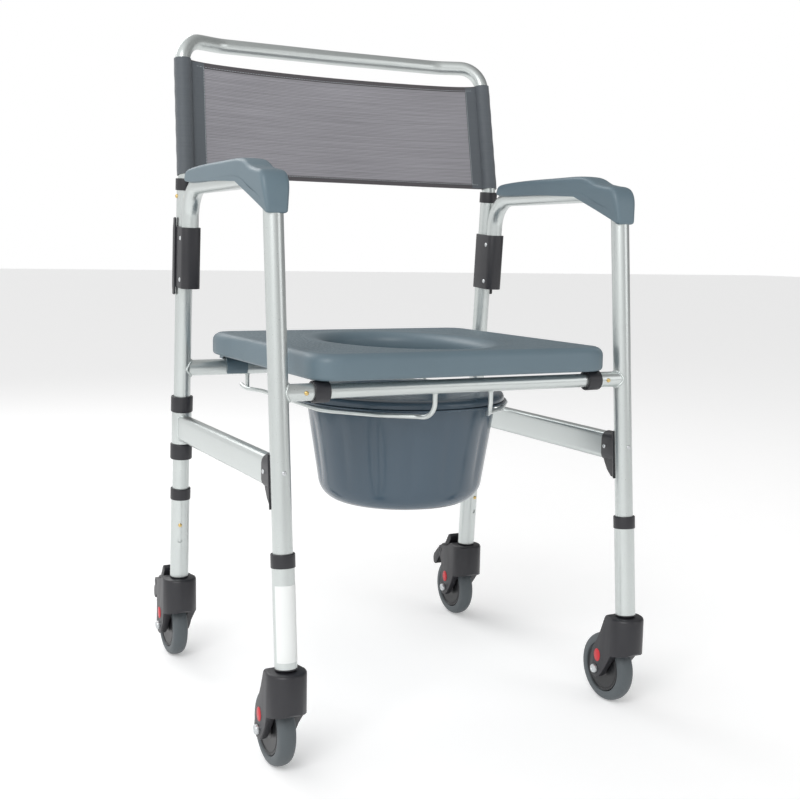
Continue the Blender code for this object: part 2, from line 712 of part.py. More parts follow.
def brace_saddle(name, side):
    """The moulded saddle that fixes the brace to the front leg."""
    frame = leg_frame(side, -1)
    height = (SADDLE_Z1 - SADDLE_Z0) / math.cos(FRONT_LEAN)
    middle = ((SADDLE_Z0 + SADDLE_Z1) / 2 - FOOT_Z) / math.cos(FRONT_LEAN)
    at = frame @ Matrix.Translation((0, 0, middle))
    shell = cylinder("shell", FRAME_R + GAP + SADDLE_SKIN, height, at)
    front = front_y(HINGE_Z)
    cup_back = front + FRAME_R + GAP + SADDLE_SKIN + SADDLE_CUP
    skin = 0.0018
    outline = round_box(BRACE_T / 2 + GAP + skin, BRACE_H / 2 + GAP + skin, BRACE_T / 2 + skin, 4)
    cup_at = Matrix.Translation((side * HALF, (front + cup_back) / 2, HINGE_Z)) @ along("Y")
    cup = plate("cup", outline, cup_back - front, cup_at)
    foot = [
        (front, SADDLE_Z0), (front + FRAME_R + GAP + SADDLE_SKIN, SADDLE_Z0),
        (cup_back - 0.010, SADDLE_Z0 + 0.009), (cup_back - 0.002, HINGE_Z - BRACE_H / 2 - 0.001),
        (cup_back - 0.002, HINGE_Z), (front, HINGE_Z),
    ]  # fmt: skip
    gusset = plate("gusset", foot, BRACE_T * 0.8, Matrix.Translation((side * HALF, 0, 0)) @ UPRIGHT)
    bore = cylinder("leg_bore", FRAME_R + GAP, height + 0.05, at)
    hold = round_box(BRACE_T / 2 + GAP, BRACE_H / 2 + GAP, BRACE_T / 2 + GAP - 0.0002, 4)
    hold_front = front + FRAME_R + GAP + SADDLE_SKIN
    hold_at = Matrix.Translation((side * HALF, hold_front + 0.03, HINGE_Z)) @ along("Y")
    socket = plate("socket", hold, 0.06, hold_at)
    away = 0.06
    front_half = box(
        "front_half", (side * HALF - away, front - away, SADDLE_Z0 - away),
        (side * HALF + away, front, SADDLE_Z1 + away),
    )  # fmt: skip
    front_half.data.transform(
        Matrix.Translation((0, front, HINGE_Z))
        @ Matrix.Rotation(-FRONT_LEAN, 4, "X")
        @ Matrix.Translation((0, -front + FRAME_R * 0.45, -HINGE_Z))
    )
    made = cut(joined(shell, cup, gusset), bore, socket, front_half)
    return finished(made, "brace_saddle_" + name, "black_plastic")


def arm_bracket(name, side):
    """The two-bore clamp that is fixed to the arm's down tube and turns on the rear post."""
    frame = leg_frame(side, 1)
    low, high = post_height(BRACKET_Z0), post_height(BRACKET_Z1)
    half_x = FRAME_R + GAP + BRACKET_SKIN
    half_y = half_x + TUBE_SPACE / 2 * math.cos(REAR_LEAN)
    space = TUBE_SPACE * math.cos(REAR_LEAN)
    outline = round_box(half_x, half_y, half_x * 0.7, 4, (0, -space / 2))
    holes = (circle(FRAME_R + GAP), circle(FRAME_R + GAP, (0, -space)))
    block = plate(
        "bracket", outline, high - low, frame @ Matrix.Translation((0, 0, (low + high) / 2)), holes
    )
    return finished(block, "arm_bracket_" + name, "black_plastic")


def pad_outline():
    """Side view of an arm pad, anticlockwise from +X: its points, and how much each is rounded."""
    top = ARM_Z + FRAME_R + PAD_OVER
    cover = FRAME_R + PAD_COVER
    back = rear_y(ARM_Z) - PAD_BACK_GAP
    hump = front_y(ARM_Z) + 0.073
    knob = ARM_Z + 0.0085
    points = [
        (back, ARM_Z + 0.001, 0.6), (back + 0.0005, ARM_Z + 0.010, 1.0),
        (back - 0.004, top - 0.007, 1.0), (back - 0.011, top - 0.0025, 1.0),
        (hump + 0.050, top, 1.0), (hump, top + 0.0005, 1.0), (hump - 0.020, top - 0.0035, 1.0),
        (hump - 0.036, top - 0.0125, 1.0), (hump - 0.050, knob + 0.0028, 1.0),
        (hump - 0.060, knob + 0.0005, 1.0), (hump - 0.071, knob, 1.0), (hump - 0.082, knob - 0.0045, 1.0),
        (front_y(ARM_Z) - cover - 0.0005, ARM_Z - 0.010, 1.0),
        (front_y(ARM_Z) - cover - 0.0022, ARM_Z - 0.027, 0.9),
        (front_y(PAD_FOOT_Z) - cover, PAD_FOOT_Z + 0.003, 0.5),
        (front_y(PAD_FOOT_Z) - cover + 0.003, PAD_FOOT_Z, 0.4),
        (front_y(PAD_FOOT_Z) - FRAME_R + 0.007, PAD_FOOT_Z, 0.4),
        (front_y(ARM_Z) - FRAME_R + 0.0065, ARM_Z - 0.040, 0.4), (front_y(ARM_Z) - 0.0036, ARM_Z - 0.029, 0.5),
        (front_y(ARM_Z) + 0.014, ARM_Z - 0.023, 0.5), (front_y(ARM_Z) + 0.040, ARM_Z - 0.0145, 0.5),
        (hump - 0.018, ARM_Z - 0.006, 0.5), (hump + 0.008, ARM_Z + 0.001, 0.5),
    ]  # fmt: skip
    return [(y, z) for y, z, _ in points], [amount for _, _, amount in points]


def arm_pad(name, side):
    """The moulded pad that caps the arm tube and rolls down over its front bend."""
    outline, share = pad_outline()
    soft = 0.0075
    layers = ((-1.0, 1.0), (-0.93, 0.45), (-0.70, 0.0), (0.70, 0.0), (0.93, 0.45), (1.0, 1.0))
    rings = []
    for across, depth in layers:
        loop = inset(outline, [soft * depth * amount for amount in share])
        ring = []
        for y, z in loop:
            narrow = 1.0 - 0.26 * min(max((ARM_Z - 0.012 - z) / 0.034, 0.0), 1.0)
            ring.append((side * HALF + across * PAD_HALF * narrow, y, z))
        rings.append(ring)
    pad = loft("pad", rings)
    groove = sweep("groove", longer(side_route(side), 0.002), FRAME_R + GAP)
    return finished(cut(pad, groove), "arm_pad_" + name, "pad")


# ---- lower legs ----------------------------------------------------------------------------
def lower_leg(end_name, end, side_name, side):
    """The outer tube of a leg, with its height holes and the socket for the caster stem."""
    frame = leg_frame(side, end)
    inner = LEG_R - LEG_WALL
    profile = [
        (LEG_R, LEG_LENGTH), (LEG_R, 0.0), (SOCKET_R, 0.0), (SOCKET_R, SOCKET_H),
        (inner, SOCKET_H), (inner, LEG_LENGTH),
    ]  # fmt: skip
    tube = lathe("leg", profile, matrix=frame)
    turn = hole_turn(side, end)
    holes = [radial_hole("hole", frame, HOLE_UP - step * LEG_TRAVEL, turn) for step in (0, 1)]
    finished(cut(tube, *holes), f"lower_leg_{end_name}_{side_name}", "aluminium")
    base = LEG_LENGTH - (LEG_COLLAR_H - COLLAR_LIP) + GAP
    collar(
        f"leg_collar_{end_name}_{side_name}", frame, base, LEG_COLLAR_H, LEG_COLLAR_R,
        LEG_R, FRAME_R, COLLAR_LIP,
    )  # fmt: skip
    snap_button(f"leg_button_{end_name}_{side_name}", frame, HOLE_UP, LEG_R, turn)


# ---- casters -------------------------------------------------------------------------------
def hood_profile(braked):
    """Side view of the hood: distance behind the swivel axis, and height."""
    boss = [
        (TRAIL + BOSS_R * math.cos(math.radians(d)), WHEEL_R + BOSS_R * math.sin(math.radians(d)))
        for d in (-145, -105, -65, -25, 15)
    ]
    back = [
        (TRAIL + 0.0085, WHEEL_R + 0.029), (TRAIL - 0.002, WHEEL_R + 0.046),
        (TRAIL - 0.009, HOOD_TOP_Z - 0.0265),
    ]  # fmt: skip
    if braked:
        ear = [
            (PEDAL_Y + PEDAL_R * math.cos(math.radians(d)), PEDAL_Z + PEDAL_R * math.sin(math.radians(d)))
            for d in (-45, 5, 55, 105)
        ]
        back = [
            (TRAIL + 0.0105, WHEEL_R + 0.030), (TRAIL + 0.011, WHEEL_R + 0.045), *ear,
            (TRAIL - 0.010, HOOD_TOP_Z - 0.0075),
        ]  # fmt: skip
    nose = -HOOD_R - 0.002
    return [
        (nose, HOOD_NOSE_Z), (-HOOD_R * 0.85, HOOD_FRONT_Z + 0.002), (-HOOD_R * 0.45, HOOD_FRONT_Z),
        (-0.002, HOOD_FRONT_Z - 0.0015), *boss, *back, (0.0165, HOOD_TOP_Z), (nose, HOOD_TOP_Z),
    ]  # fmt: skip


def hood_plan(shrink):
    """Outline of the hood from above: a round front, and side plates running back."""
    half, nose = HOOD_SIDE - shrink, HOOD_R - shrink
    front = [math.pi * i / 12 for i in range(13)]
    return [
        (-half, 0.09), (-half, 0.013),
        *[(-nose * math.cos(a), -nose * math.sin(a)) for a in front],
        (half, 0.013), (half, 0.09),
    ]  # fmt: skip


def caster(end_name, end, side_name, side):
    """A swivel caster: hood with its stem, wheel, axle bolt and, at the rear, the brake pedal."""
    tag = f"{end_name}_{side_name}"
    at = Matrix.Translation((side * HALF, end * FOOT_Y, 0))
    body = plate("hood", hood_profile(end > 0), 2 * HOOD_R + 0.004, at @ UPRIGHT)
    heights = (
        (0.02, 0.0), (HOOD_TOP_Z - HOOD_SOFT, 0.0),
        (HOOD_TOP_Z - HOOD_SOFT * 0.3, HOOD_SOFT * 0.3), (HOOD_TOP_Z + 0.001, HOOD_SOFT + 0.001),
    )  # fmt: skip
    plan = loft("plan", [[at @ Vector((x, y, z)) for x, y in hood_plan(shrink)] for z, shrink in heights])
    combine(body, [plan], "INTERSECT")
    axle_at = at @ Matrix.Translation((0, TRAIL, WHEEL_R)) @ along("X")
    room = cylinder("room", WHEEL_R + WHEEL_ROOM, WHEEL_W + 2 * 0.0018, axle_at, 24)
    bolt_hole = cylinder("bolt_hole", BOLT_R + GAP, 0.1, axle_at)
    cutters = [room, bolt_hole]
    if end > 0:
        pedal_at = at @ Matrix.Translation((0, PEDAL_Y, PEDAL_Z)) @ along("X")
        pocket = [
            (0.021, HOOD_TOP_Z + 0.01), (0.021, PEDAL_Z - 0.017), (0.03, WHEEL_R + 0.01),
            (PEDAL_REACH, WHEEL_R + 0.01), (PEDAL_REACH, HOOD_TOP_Z + 0.01),
        ]  # fmt: skip
        cutters.append(plate("pocket", pocket, 2 * (PEDAL_HALF + RUN), at @ UPRIGHT))
        cutters.append(cylinder("pin_hole", PEDAL_PIN_R + GAP, 0.1, pedal_at, 12))
    cut(body, *cutters)
    stem_low = HOOD_TOP_Z - 0.004
    stem_high = FOOT_Z + STEM_UP
    stem_at = at @ Matrix.Translation((0, 0, (stem_low + stem_high) / 2))
    stem = cylinder("stem", STEM_R, stem_high - stem_low, stem_at, 12)
    finished(joined(body, stem), "caster_hood_" + tag, "black_plastic")

    facets = 24
    rim = 1 / math.cos(math.pi / facets)
    half = WHEEL_W / 2
    tyre = [
        (WHEEL_R * rim, half * 0.45), (WHEEL_R * rim, -half * 0.45), (WHEEL_R * 0.93 * rim, -half),
        (HUB_R + GAP, -half), (HUB_R + GAP, half), (WHEEL_R * 0.93 * rim, half),
    ]  # fmt: skip
    finished(lathe("tyre", tyre, facets, axle_at), "caster_tyre_" + tag, "tyre")
    hub_half = HUB_W / 2
    dish = 0.002
    hub = [
        (HUB_R - 0.0005, hub_half), (HUB_R - 0.0005, -hub_half), (HUB_R * 0.86, -hub_half + dish),
        (0.011, -hub_half + dish), (0.009, -hub_half - 0.001), (BOLT_R + GAP, -hub_half - 0.001),
        (BOLT_R + GAP, hub_half + 0.001), (0.009, hub_half + 0.001), (0.011, hub_half - dish),
        (HUB_R * 0.86, hub_half - dish),
    ]  # fmt: skip
    finished(lathe("hub", hub, 20, axle_at), "caster_hub_" + tag, "hub_plastic")
    face = HOOD_SIDE + GAP
    head = [
        (0.0, face + BOLT_HEAD_H), (BOLT_HEAD_R * 0.8, face + BOLT_HEAD_H),
        (BOLT_HEAD_R, face + BOLT_HEAD_H * 0.6), (BOLT_HEAD_R, face), (BOLT_R, face),
    ]  # fmt: skip
    bolt = head + [(r, -z) for r, z in reversed(head)]
    finished(lathe("bolt", bolt, 12, axle_at, close=False), "caster_axle_" + tag, "zinc")
    if end > 0:
        brake_pedal(tag, at, pedal_at, axle_at)


def brake_pedal(tag, at, pedal_at, axle_at):
    """The rocking brake pedal: an upper lobe, a rear lobe, and pins in the hood's ears."""
    reach = PEDAL_REACH - PEDAL_Y
    outline = [
        (-0.0085, -0.0040), (-0.0160, 0.0100), (-0.0238, 0.0245), (-0.0238, 0.0300), (-0.0205, 0.0328),
        (-0.0155, 0.0305), (-0.0040, 0.0130), (0.0060, 0.0092), (reach - 0.0150, -0.0040),
        (reach - 0.0020, -0.0170), (reach, -0.0240), (reach - 0.0010, -0.0320), (reach - 0.0060, -0.0355),
        (reach - 0.0120, -0.0335), (reach - 0.0170, -0.0240), (0.0100, -0.0120), (0.0, -0.0085),
    ]  # fmt: skip
    pivot = at @ Matrix.Translation((0, PEDAL_Y, PEDAL_Z))
    rocker = plate("rocker", outline, 2 * PEDAL_HALF, pivot @ UPRIGHT)
    cut(rocker, cylinder("tyre_room", WHEEL_R + PEDAL_SWING, WHEEL_W + 4 * RUN, axle_at, 24))
    pin = cylinder("pin", PEDAL_PIN_R, 2 * HOOD_SIDE, pedal_at, 12)
    made = finished(joined(rocker, pin), "brake_pedal_" + tag, "pedal_plastic")
    set_origin(made, pivot.translation)


# ---- backrest ------------------------------------------------------------------------------
def back_at(x, z):
    """Point of the raked backrest plane at the given x and height."""
    return Vector((x, rear_y(KNEE_Z) + (z - KNEE_Z) * math.tan(BACK_RAKE), z))


def back_side_x(z):
    """Distance of the backrest tube's axis from the middle, at height z above the knee."""
    top = BACK_TOP_TRACK / 2
    return HALF + (top - HALF) * (z - KNEE_Z) / (HANDLE_Z - KNEE_Z)


def back_route():
    """Centre line of the backrest tube, from one plug over the handle to the other."""
    plug_z = POST_TOP_Z - PLUG_L * math.cos(REAR_LEAN)
    corner = back_at(BACK_TOP_TRACK / 2, HANDLE_Z)
    points = [
        (HALF, rear_y(plug_z), plug_z), back_at(HALF, KNEE_Z), corner,
        (HANDLE_JOG_X, HANDLE_MID_Y - 0.0025, HANDLE_Z + 0.0005), (0.0, HANDLE_MID_Y, HANDLE_Z),
    ]  # fmt: skip
    half_route = bent(points, (0.02, HANDLE_BEND, 0.06), 6)
    mirrored = [Vector((-p.x, p.y, p.z)) for p in reversed(half_route[:-1])]
    return half_route + mirrored


def backrest():
    """The backrest tube and its sling."""
    route = back_route()
    tube = sweep("back", route, BACK_R, 12)
    bore = sweep("back_bore", longer(route, 0.004), BACK_R - BACK_WALL, 12)
    slots = []
    for _, side in SIDE_NAMES:
        low = POST_LENGTH - PLUG_L - 0.01
        high = POST_LENGTH - POST_BUTTON_DOWN + BUTTON_R + RUN
        slots.append(slot_cutter("slot", leg_frame(side, 1), low, high, 0 if side > 0 else math.pi))
    finished(cut(tube, bore, *slots), "backrest_tube", "aluminium")

    inner = BACK_R + GAP + 0.0003
    low, high = back_side_x(SLING_Z0), back_side_x(SLING_Z1)
    dip = ((0.9, 0.55), (0.65, 0.85), (0.3, 0.97), (-0.3, 0.97), (-0.65, 0.85), (-0.9, 0.55))
    outline = [(low - SLING_IN, SLING_Z0), (high - SLING_IN, SLING_Z1 - 0.002)]
    outline += [(high * share, SLING_Z1 - SLING_DIP * depth) for share, depth in dip]
    outline += [(SLING_IN - high, SLING_Z1 - 0.002), (SLING_IN - low, SLING_Z0)]
    normal = Vector((0, math.cos(BACK_RAKE), -math.sin(BACK_RAKE))) * SLING_T / 2
    sling = loft("sling", [[back_at(x, z) + normal * way for x, z in outline] for way in (-1, 1)])
    sleeves = []
    for _, side in SIDE_NAMES:
        ends = [back_at(side * low, SLING_Z0), back_at(side * high, SLING_Z1)]
        sleeves.append(sweep("sleeve", ends, inner + SLEEVE_T, 16))
    tunnel = sweep("tunnel", longer(route, 0.002), inner, 12)
    finished(cut(joined(sling, *sleeves), tunnel), "back_sling", "mesh_cloth")


# ---- seat and pan --------------------------------------------------------------------------
def seat():
    """The moulded seat pad with its opening, and the clips that hold it to the cross tube."""
    depth = (SEAT_BACK_Y - SEAT_FRONT_Y) / 2
    centre_y = (SEAT_BACK_Y + SEAT_FRONT_Y) / 2
    soften = 0.011
    layers = (
        (0.0, soften * 0.45), (soften * 0.5, 0.0), (SEAT_T - soften, 0.0),
        (SEAT_T - soften * 0.35, soften * 0.3), (SEAT_T, soften),
    )  # fmt: skip
    rings = []
    for height, shrink in layers:
        loop = round_box(SEAT_HALF - shrink, depth - shrink, SEAT_CORNER - shrink, 5, (0, centre_y))
        rings.append([(x, y, SEAT_Z + height) for x, y in loop])
    pad = loft("seat", rings)

    turns = [2 * math.pi * i / 32 for i in range(32)]
    widening = ((-0.005, 0.0), (SEAT_T * 0.55, 0.0), (SEAT_T * 0.85, 0.005), (SEAT_T + 0.004, 0.016))
    rings = []
    for height, grow in widening:
        half_x, half_y = HOLE_HALF_X + grow, HOLE_HALF_Y + grow
        rings.append([(half_x * math.cos(a), HOLE_Y + half_y * math.sin(a), SEAT_Z + height) for a in turns])
    pad = cut(pad, loft("opening", rings))

    clips, bores = [], []
    for _, side in SIDE_NAMES:
        x = side * CLIP_X
        ring_at = Matrix.Translation((x, CROSS_Y, CROSS_Z)) @ along("X")
        hoop = cylinder("hoop", FRAME_R + GAP + CLIP_SKIN, 2 * CLIP_HALF, ring_at)
        half_y = FRAME_R + GAP + CLIP_SKIN
        neck = box(
            "neck", (x - CLIP_HALF, CROSS_Y - half_y, CROSS_Z),
            (x + CLIP_HALF, SEAT_BACK_Y - 0.006, SEAT_Z + 0.004),
        )  # fmt: skip
        clips.append(joined(hoop, neck))
        bores.append(cylinder("hoop_bore", FRAME_R + GAP, 0.06, ring_at))
        mouth = FRAME_R * 0.75
        bores.append(
            box("mouth", (x - 0.03, CROSS_Y - mouth, CROSS_Z - 0.03),
                (x + 0.03, CROSS_Y + mouth, CROSS_Z - 0.008))
        )  # fmt: skip
    made = cut(joined(pad, *clips), *bores)
    finished(made, "seat_pad", "pad")


def pan_profile():
    """Outer profile of the pan, from the middle of its floor up to the rim."""
    wall_lean = math.atan2(PAN_R - PAN_FOOT_R, RAIL_Z - PAN_BOTTOM_Z)
    middle = PAN_FOOT_R - PAN_CORNER + 0.002
    outer = [(0.0, PAN_BOTTOM_Z), (middle, PAN_BOTTOM_Z)]
    for i in range(1, 5):
        angle = math.radians(-90) + (math.radians(90) - wall_lean) * i / 4
        height = PAN_BOTTOM_Z + PAN_CORNER + PAN_CORNER * math.sin(angle)
        outer.append((middle + PAN_CORNER * math.cos(angle), height))
    rim_z = RAIL_Z + RAIL_R + GAP
    outer += [
        (PAN_R, rim_z), (PAN_RIM_R, rim_z), (PAN_RIM_R, rim_z + PAN_WALL),
        (PAN_R - PAN_WALL, rim_z + PAN_WALL),
    ]  # fmt: skip
    inner = [(r - PAN_WALL, z + PAN_WALL * 0.5) for r, z in reversed(outer[2:6])]
    inner.append((middle, PAN_BOTTOM_Z + PAN_WALL))
    inner.append((0.0, PAN_BOTTOM_Z + PAN_WALL))
    return outer + inner


def pan():
    """The pan and its lid."""
    at = Matrix.Translation((0, PAN_Y, 0))
    finished(lathe("pan", list(reversed(pan_profile())), 32, at, close=False), "pan", "pan_plastic")
    base = RAIL_Z + RAIL_R + GAP + PAN_WALL + GAP
    lid = [
        (0.0, base + LID_H), (LID_R - 0.006, base + LID_H), (LID_R - 0.001, base + LID_H - 0.004),
        (LID_R, base), (LID_R - LID_T, base), (LID_R - LID_T - 0.003, base + LID_H - LID_T - 0.002),
        (0.0, base + LID_H - LID_T),
    ]  # fmt: skip
    finished(lathe("lid", lid, 32, at, close=False), "pan_lid", "pan_plastic")


# ---- build ---------------------------------------------------------------------------------
def build():
    rear_frame()
    post_fittings()
    front_bar()
    backrest()
    for name, side in SIDE_NAMES:
        side_tube(name, side)
        bar_collar(name, side)
        side_brace(name, side)
        brace_saddle(name, side)
        arm_bracket(name, side)
        arm_pad(name, side)
        stub = Matrix.Translation((side * STUB_BUTTON_X, BAR_Y, BAR_Z))
        snap_button("bar_button_" + name, stub, 0.0, STUB_R, -math.pi / 2)
        post_turn = 0 if side > 0 else math.pi
        snap_button(
            "back_button_" + name, leg_frame(side, 1), POST_LENGTH - POST_BUTTON_DOWN, FRAME_R, post_turn
        )
        for end_name, end in END_NAMES:
            lower_leg(end_name, end, name, side)
            caster(end_name, end, name, side)
    seat()
    pan()
    for obj in PARTS.objects:
        obj.location.y -= CENTRE_Y


build()
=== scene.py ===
"""Looks of the wheeled commode chair, built round its packed frame.

Every place is in metres in the frame's own axes: +X to the right, +Y to the rear, +Z up.
"""

import math

import bmesh
import bpy
from bpy.props import FloatProperty, FloatVectorProperty, PointerProperty
from mathutils import Matrix, Vector


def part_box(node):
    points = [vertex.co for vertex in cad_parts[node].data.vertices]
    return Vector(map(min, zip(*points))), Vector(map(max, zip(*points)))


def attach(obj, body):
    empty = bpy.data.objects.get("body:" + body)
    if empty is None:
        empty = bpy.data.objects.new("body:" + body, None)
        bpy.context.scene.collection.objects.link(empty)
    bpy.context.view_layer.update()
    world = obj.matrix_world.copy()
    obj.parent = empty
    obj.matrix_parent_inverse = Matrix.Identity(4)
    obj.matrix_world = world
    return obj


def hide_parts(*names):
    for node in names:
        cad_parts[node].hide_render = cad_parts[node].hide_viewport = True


bl_info = {
    "name": "Commode Chair",
    "version": (1, 0, 0),
    "blender": (4, 5, 0),
    "location": "3D View > Sidebar > Commode",
    "description": "Builds the tubes, pads, cloth, pan and casters of a wheeled commode chair",
    "category": "Object",
}

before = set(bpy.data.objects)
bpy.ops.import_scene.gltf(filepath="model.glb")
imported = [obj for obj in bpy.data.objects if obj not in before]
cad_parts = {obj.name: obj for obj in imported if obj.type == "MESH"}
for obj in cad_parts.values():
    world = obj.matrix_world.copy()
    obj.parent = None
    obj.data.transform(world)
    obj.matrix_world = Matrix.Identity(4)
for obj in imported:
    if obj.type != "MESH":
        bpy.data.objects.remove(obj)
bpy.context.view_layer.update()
SIDES = (("left", -1), ("right", 1))
ENDS = (("front", -1), ("rear", 1))


def middle(node):
    """Middle of a CAD node's box."""
    low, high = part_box(node)
    return (low + high) / 2


def length_of(name, text, default):
    return FloatProperty(name=name, description=text, default=default, unit="LENGTH", precision=5)


def angle_of(name, text, degrees):
    return FloatProperty(name=name, description=text, default=math.radians(degrees), subtype="ANGLE")


def colour_of(name, text, default):
    return FloatVectorProperty(
        name=name, description=text, default=default, size=3, min=0.0, max=1.0, subtype="COLOR"
    )


# ---- sizes and colours -----------------------------------------------------------------------
class CommodeTubes(bpy.types.PropertyGroup):
    """Sizes of the tube frame."""

    half_track: length_of("Half track", "Legs from the middle", round(middle("caster_axle_rear_right").x, 5))
    front_foot: length_of("Front foot", "Y of the foot of the front legs", -0.2590)
    rear_foot: length_of("Rear foot", "Y of the foot of the rear legs", 0.1965)
    foot_height: length_of("Foot height", "Lower end of the lower legs", 0.1395)
    front_lean: angle_of("Front lean", "Lean of the front legs", 5.14)
    rear_lean: angle_of("Rear lean", "Lean of the rear posts", 4.15)
    back_rake: angle_of("Back rake", "Lean of the backrest", 9.1)
    frame_r: length_of("Frame tube radius", "Outside radius of the frame tubes", 0.0127)
    leg_r: length_of("Leg tube radius", "Outside radius of the lower legs", 0.0143)
    back_r: length_of("Back tube radius", "Outside radius of the backrest tube", 0.0111)
    bar_r: length_of("Bar radius", "Outside radius of the front bar", 0.009525)
    rail_r: length_of("Rail radius", "Radius of the wire rails", 0.00325)
    wall: length_of("Tube wall", "Wall of every tube", 0.0012)
    arm_height: length_of("Arm height", "Centre of the arm tubes", 0.745)
    bar_height: length_of("Bar height", "Centre of the front bar", 0.480)
    cross_height: length_of("Cross tube height", "Centre of the cross tube", 0.472)
    brace_height: length_of("Brace height", "Centre of the side braces", 0.3795)
    post_top: length_of("Post top", "Top of the rear posts", 0.752)
    handle_height: length_of("Handle height", "Centre of the push handle", 0.9635)


class CommodePads(bpy.types.PropertyGroup):
    """Sizes of the pads, the sling and the pan."""

    arm_half: length_of("Arm pad half width", "Half the width of an arm pad", 0.0185)
    seat_half: length_of("Seat half width", "Half the width of the seat", 0.224)
    seat_thick: length_of("Seat thickness", "Thickness of the seat pad", 0.034)
    seat_corner: length_of("Seat corner", "Radius of the seat's corners", 0.032)
    pebble: length_of("Pebble size", "Size of the pebbles on the seat", 0.0042)
    sling_sag: length_of("Sling sag", "How far the sling bows to the rear", 0.004)
    stitch: length_of("Stitch pitch", "Distance between stitches", 0.0042)
    pan_r: length_of("Pan radius", "Radius of the pan below its rim", 0.139)
    crease: length_of("Pan crease", "Depth of the flutes in the pan", 0.0030)


class CommodeColours(bpy.types.PropertyGroup):
    """Colours of the finishes."""

    aluminium: colour_of("Aluminium", "Satin anodised tube", (0.60, 0.635, 0.625))
    black: colour_of("Black plastic", "Collars, brackets and hoods", (0.0040, 0.0046, 0.0055))
    pad: colour_of("Pad", "Foam of the seat and arm pads", (0.112, 0.162, 0.193))
    pan: colour_of("Pan", "Moulded pan and lid", (0.046, 0.072, 0.094))
    sling: colour_of("Sling", "Mesh cloth", (0.255, 0.250, 0.270))
    sleeve: colour_of("Sleeve", "Coated cloth of the sling's sleeves", (0.092, 0.104, 0.116))
    hem: colour_of("Hem", "Tape along the sling's hems", (0.080, 0.074, 0.080))
    thread: colour_of("Thread", "Stitching", (0.42, 0.46, 0.48))
    tyre: colour_of("Tyre", "Grey rubber", (0.078, 0.092, 0.100))
    zinc: colour_of("Zinc", "Bolts, screws and rivets", (0.62, 0.64, 0.66))
    brass: colour_of("Brass", "Snap buttons", (0.62, 0.42, 0.14))
    inlay: colour_of("Inlay", "Ovals on the caster hoods", (0.55, 0.02, 0.03))


def tubes():
    return bpy.context.scene.commode_tubes


def pads():
    return bpy.context.scene.commode_pads


def colours():
    return bpy.context.scene.commode_colours


# ---- places ----------------------------------------------------------------------------------
def front_y(z):
    """Y of a front leg's axis at height z."""
    t = tubes()
    return t.front_foot + (z - t.foot_height) * math.tan(t.front_lean)


def rear_y(z):
    """Y of a rear post's axis at height z."""
    t = tubes()
    return t.rear_foot - (z - t.foot_height) * math.tan(t.rear_lean)


def leg_frame(side, end):
    """A leg's own frame: origin at its foot, Z up the leg."""
    t = tubes()
    foot, lean = (t.front_foot, -t.front_lean) if end < 0 else (t.rear_foot, t.rear_lean)
    return Matrix.Translation((side * t.half_track, foot, t.foot_height)) @ Matrix.Rotation(lean, 4, "X")


def along_post(z):
    """Distance up a rear leg, from its foot, of height z."""
    return (z - tubes().foot_height) / math.cos(tubes().rear_lean)


def facing(place, direction):
    """A matrix at a place whose Z points in a direction."""
    return Matrix.Translation(place) @ Vector(direction).to_track_quat("Z", "Y").to_matrix().to_4x4()


# ---- mesh helpers ----------------------------------------------------------------------------
def mesh_of(name, bm, sharp=42.0):
    """A smooth-shaded mesh with its normals pointing out."""
    bmesh.ops.recalc_face_normals(bm, faces=bm.faces)
    mesh = bpy.data.meshes.new(name)
    bm.to_mesh(mesh)
    bm.free()
    mesh.shade_smooth()
    mesh.set_sharp_from_angle(angle=math.radians(sharp))
    return mesh


def skin(name, rings, loop=False, around=True, cap=True, sharp=42.0):
    """A mesh through rings of points that all have the same count."""
    bm = bmesh.new()
    rows = [[bm.verts.new(p) for p in ring] for ring in rings]
    pairs = list(zip(rows, rows[1:]))
    if loop:
        pairs.append((rows[-1], rows[0]))
    count = len(rows[0])
    for a, b in pairs:
        for j in range(count if around else count - 1):
            k = (j + 1) % count
            bm.faces.new((a[j], a[k], b[k], b[j]))
    if cap and not loop:
        bm.faces.new(rows[0])
        bm.faces.new(rows[-1])
    bmesh.ops.remove_doubles(bm, verts=bm.verts, dist=1e-7)
    return mesh_of(name, bm, sharp)


def merged(name, meshes, sharp=42.0):
    """Several meshes as one."""
    bm = bmesh.new()
    for mesh in meshes:
        bm.from_mesh(mesh)
    return mesh_of(name, bm, sharp)


def softened(points, radius, steps=3, closed=True):
    """A flat outline with its corners rounded, as far as their edges allow."""
    points = [Vector((p[0], p[1])) for p in points]
    count, out = len(points), []
    for i, corner in enumerate(points):
        if not closed and i in (0, count - 1):
            out.append(corner)
            continue
        into, away = points[i - 1] - corner, points[(i + 1) % count] - corner
        reach = min(radius, 0.45 * into.length, 0.45 * away.length)
        a, b = corner + into.normalized() * reach, corner + away.normalized() * reach
        for k in range(steps + 1):
            u = k / steps
            out.append(a * (1 - u) ** 2 + corner * 2 * u * (1 - u) + b * u**2)
    return out


def turned(name, profile, matrix=None, steps=48, radius=0.0, closed=True, shape=None):
    """A profile of (radius, height) points turned about Z. shape(angle, height) scales the radius."""
    line = softened(profile, radius, closed=closed) if radius else [Vector(p) for p in profile]
    matrix = matrix or Matrix()
    rings = []
    for r, z in line:
        ring = []
        for i in range(steps):
            a = 2 * math.pi * i / steps
            grown = r * (shape(a, z) if shape else 1.0)
            ring.append(matrix @ Vector((grown * math.cos(a), grown * math.sin(a), z)))
        rings.append(ring)
    return skin(name, rings, loop=closed, cap=False)


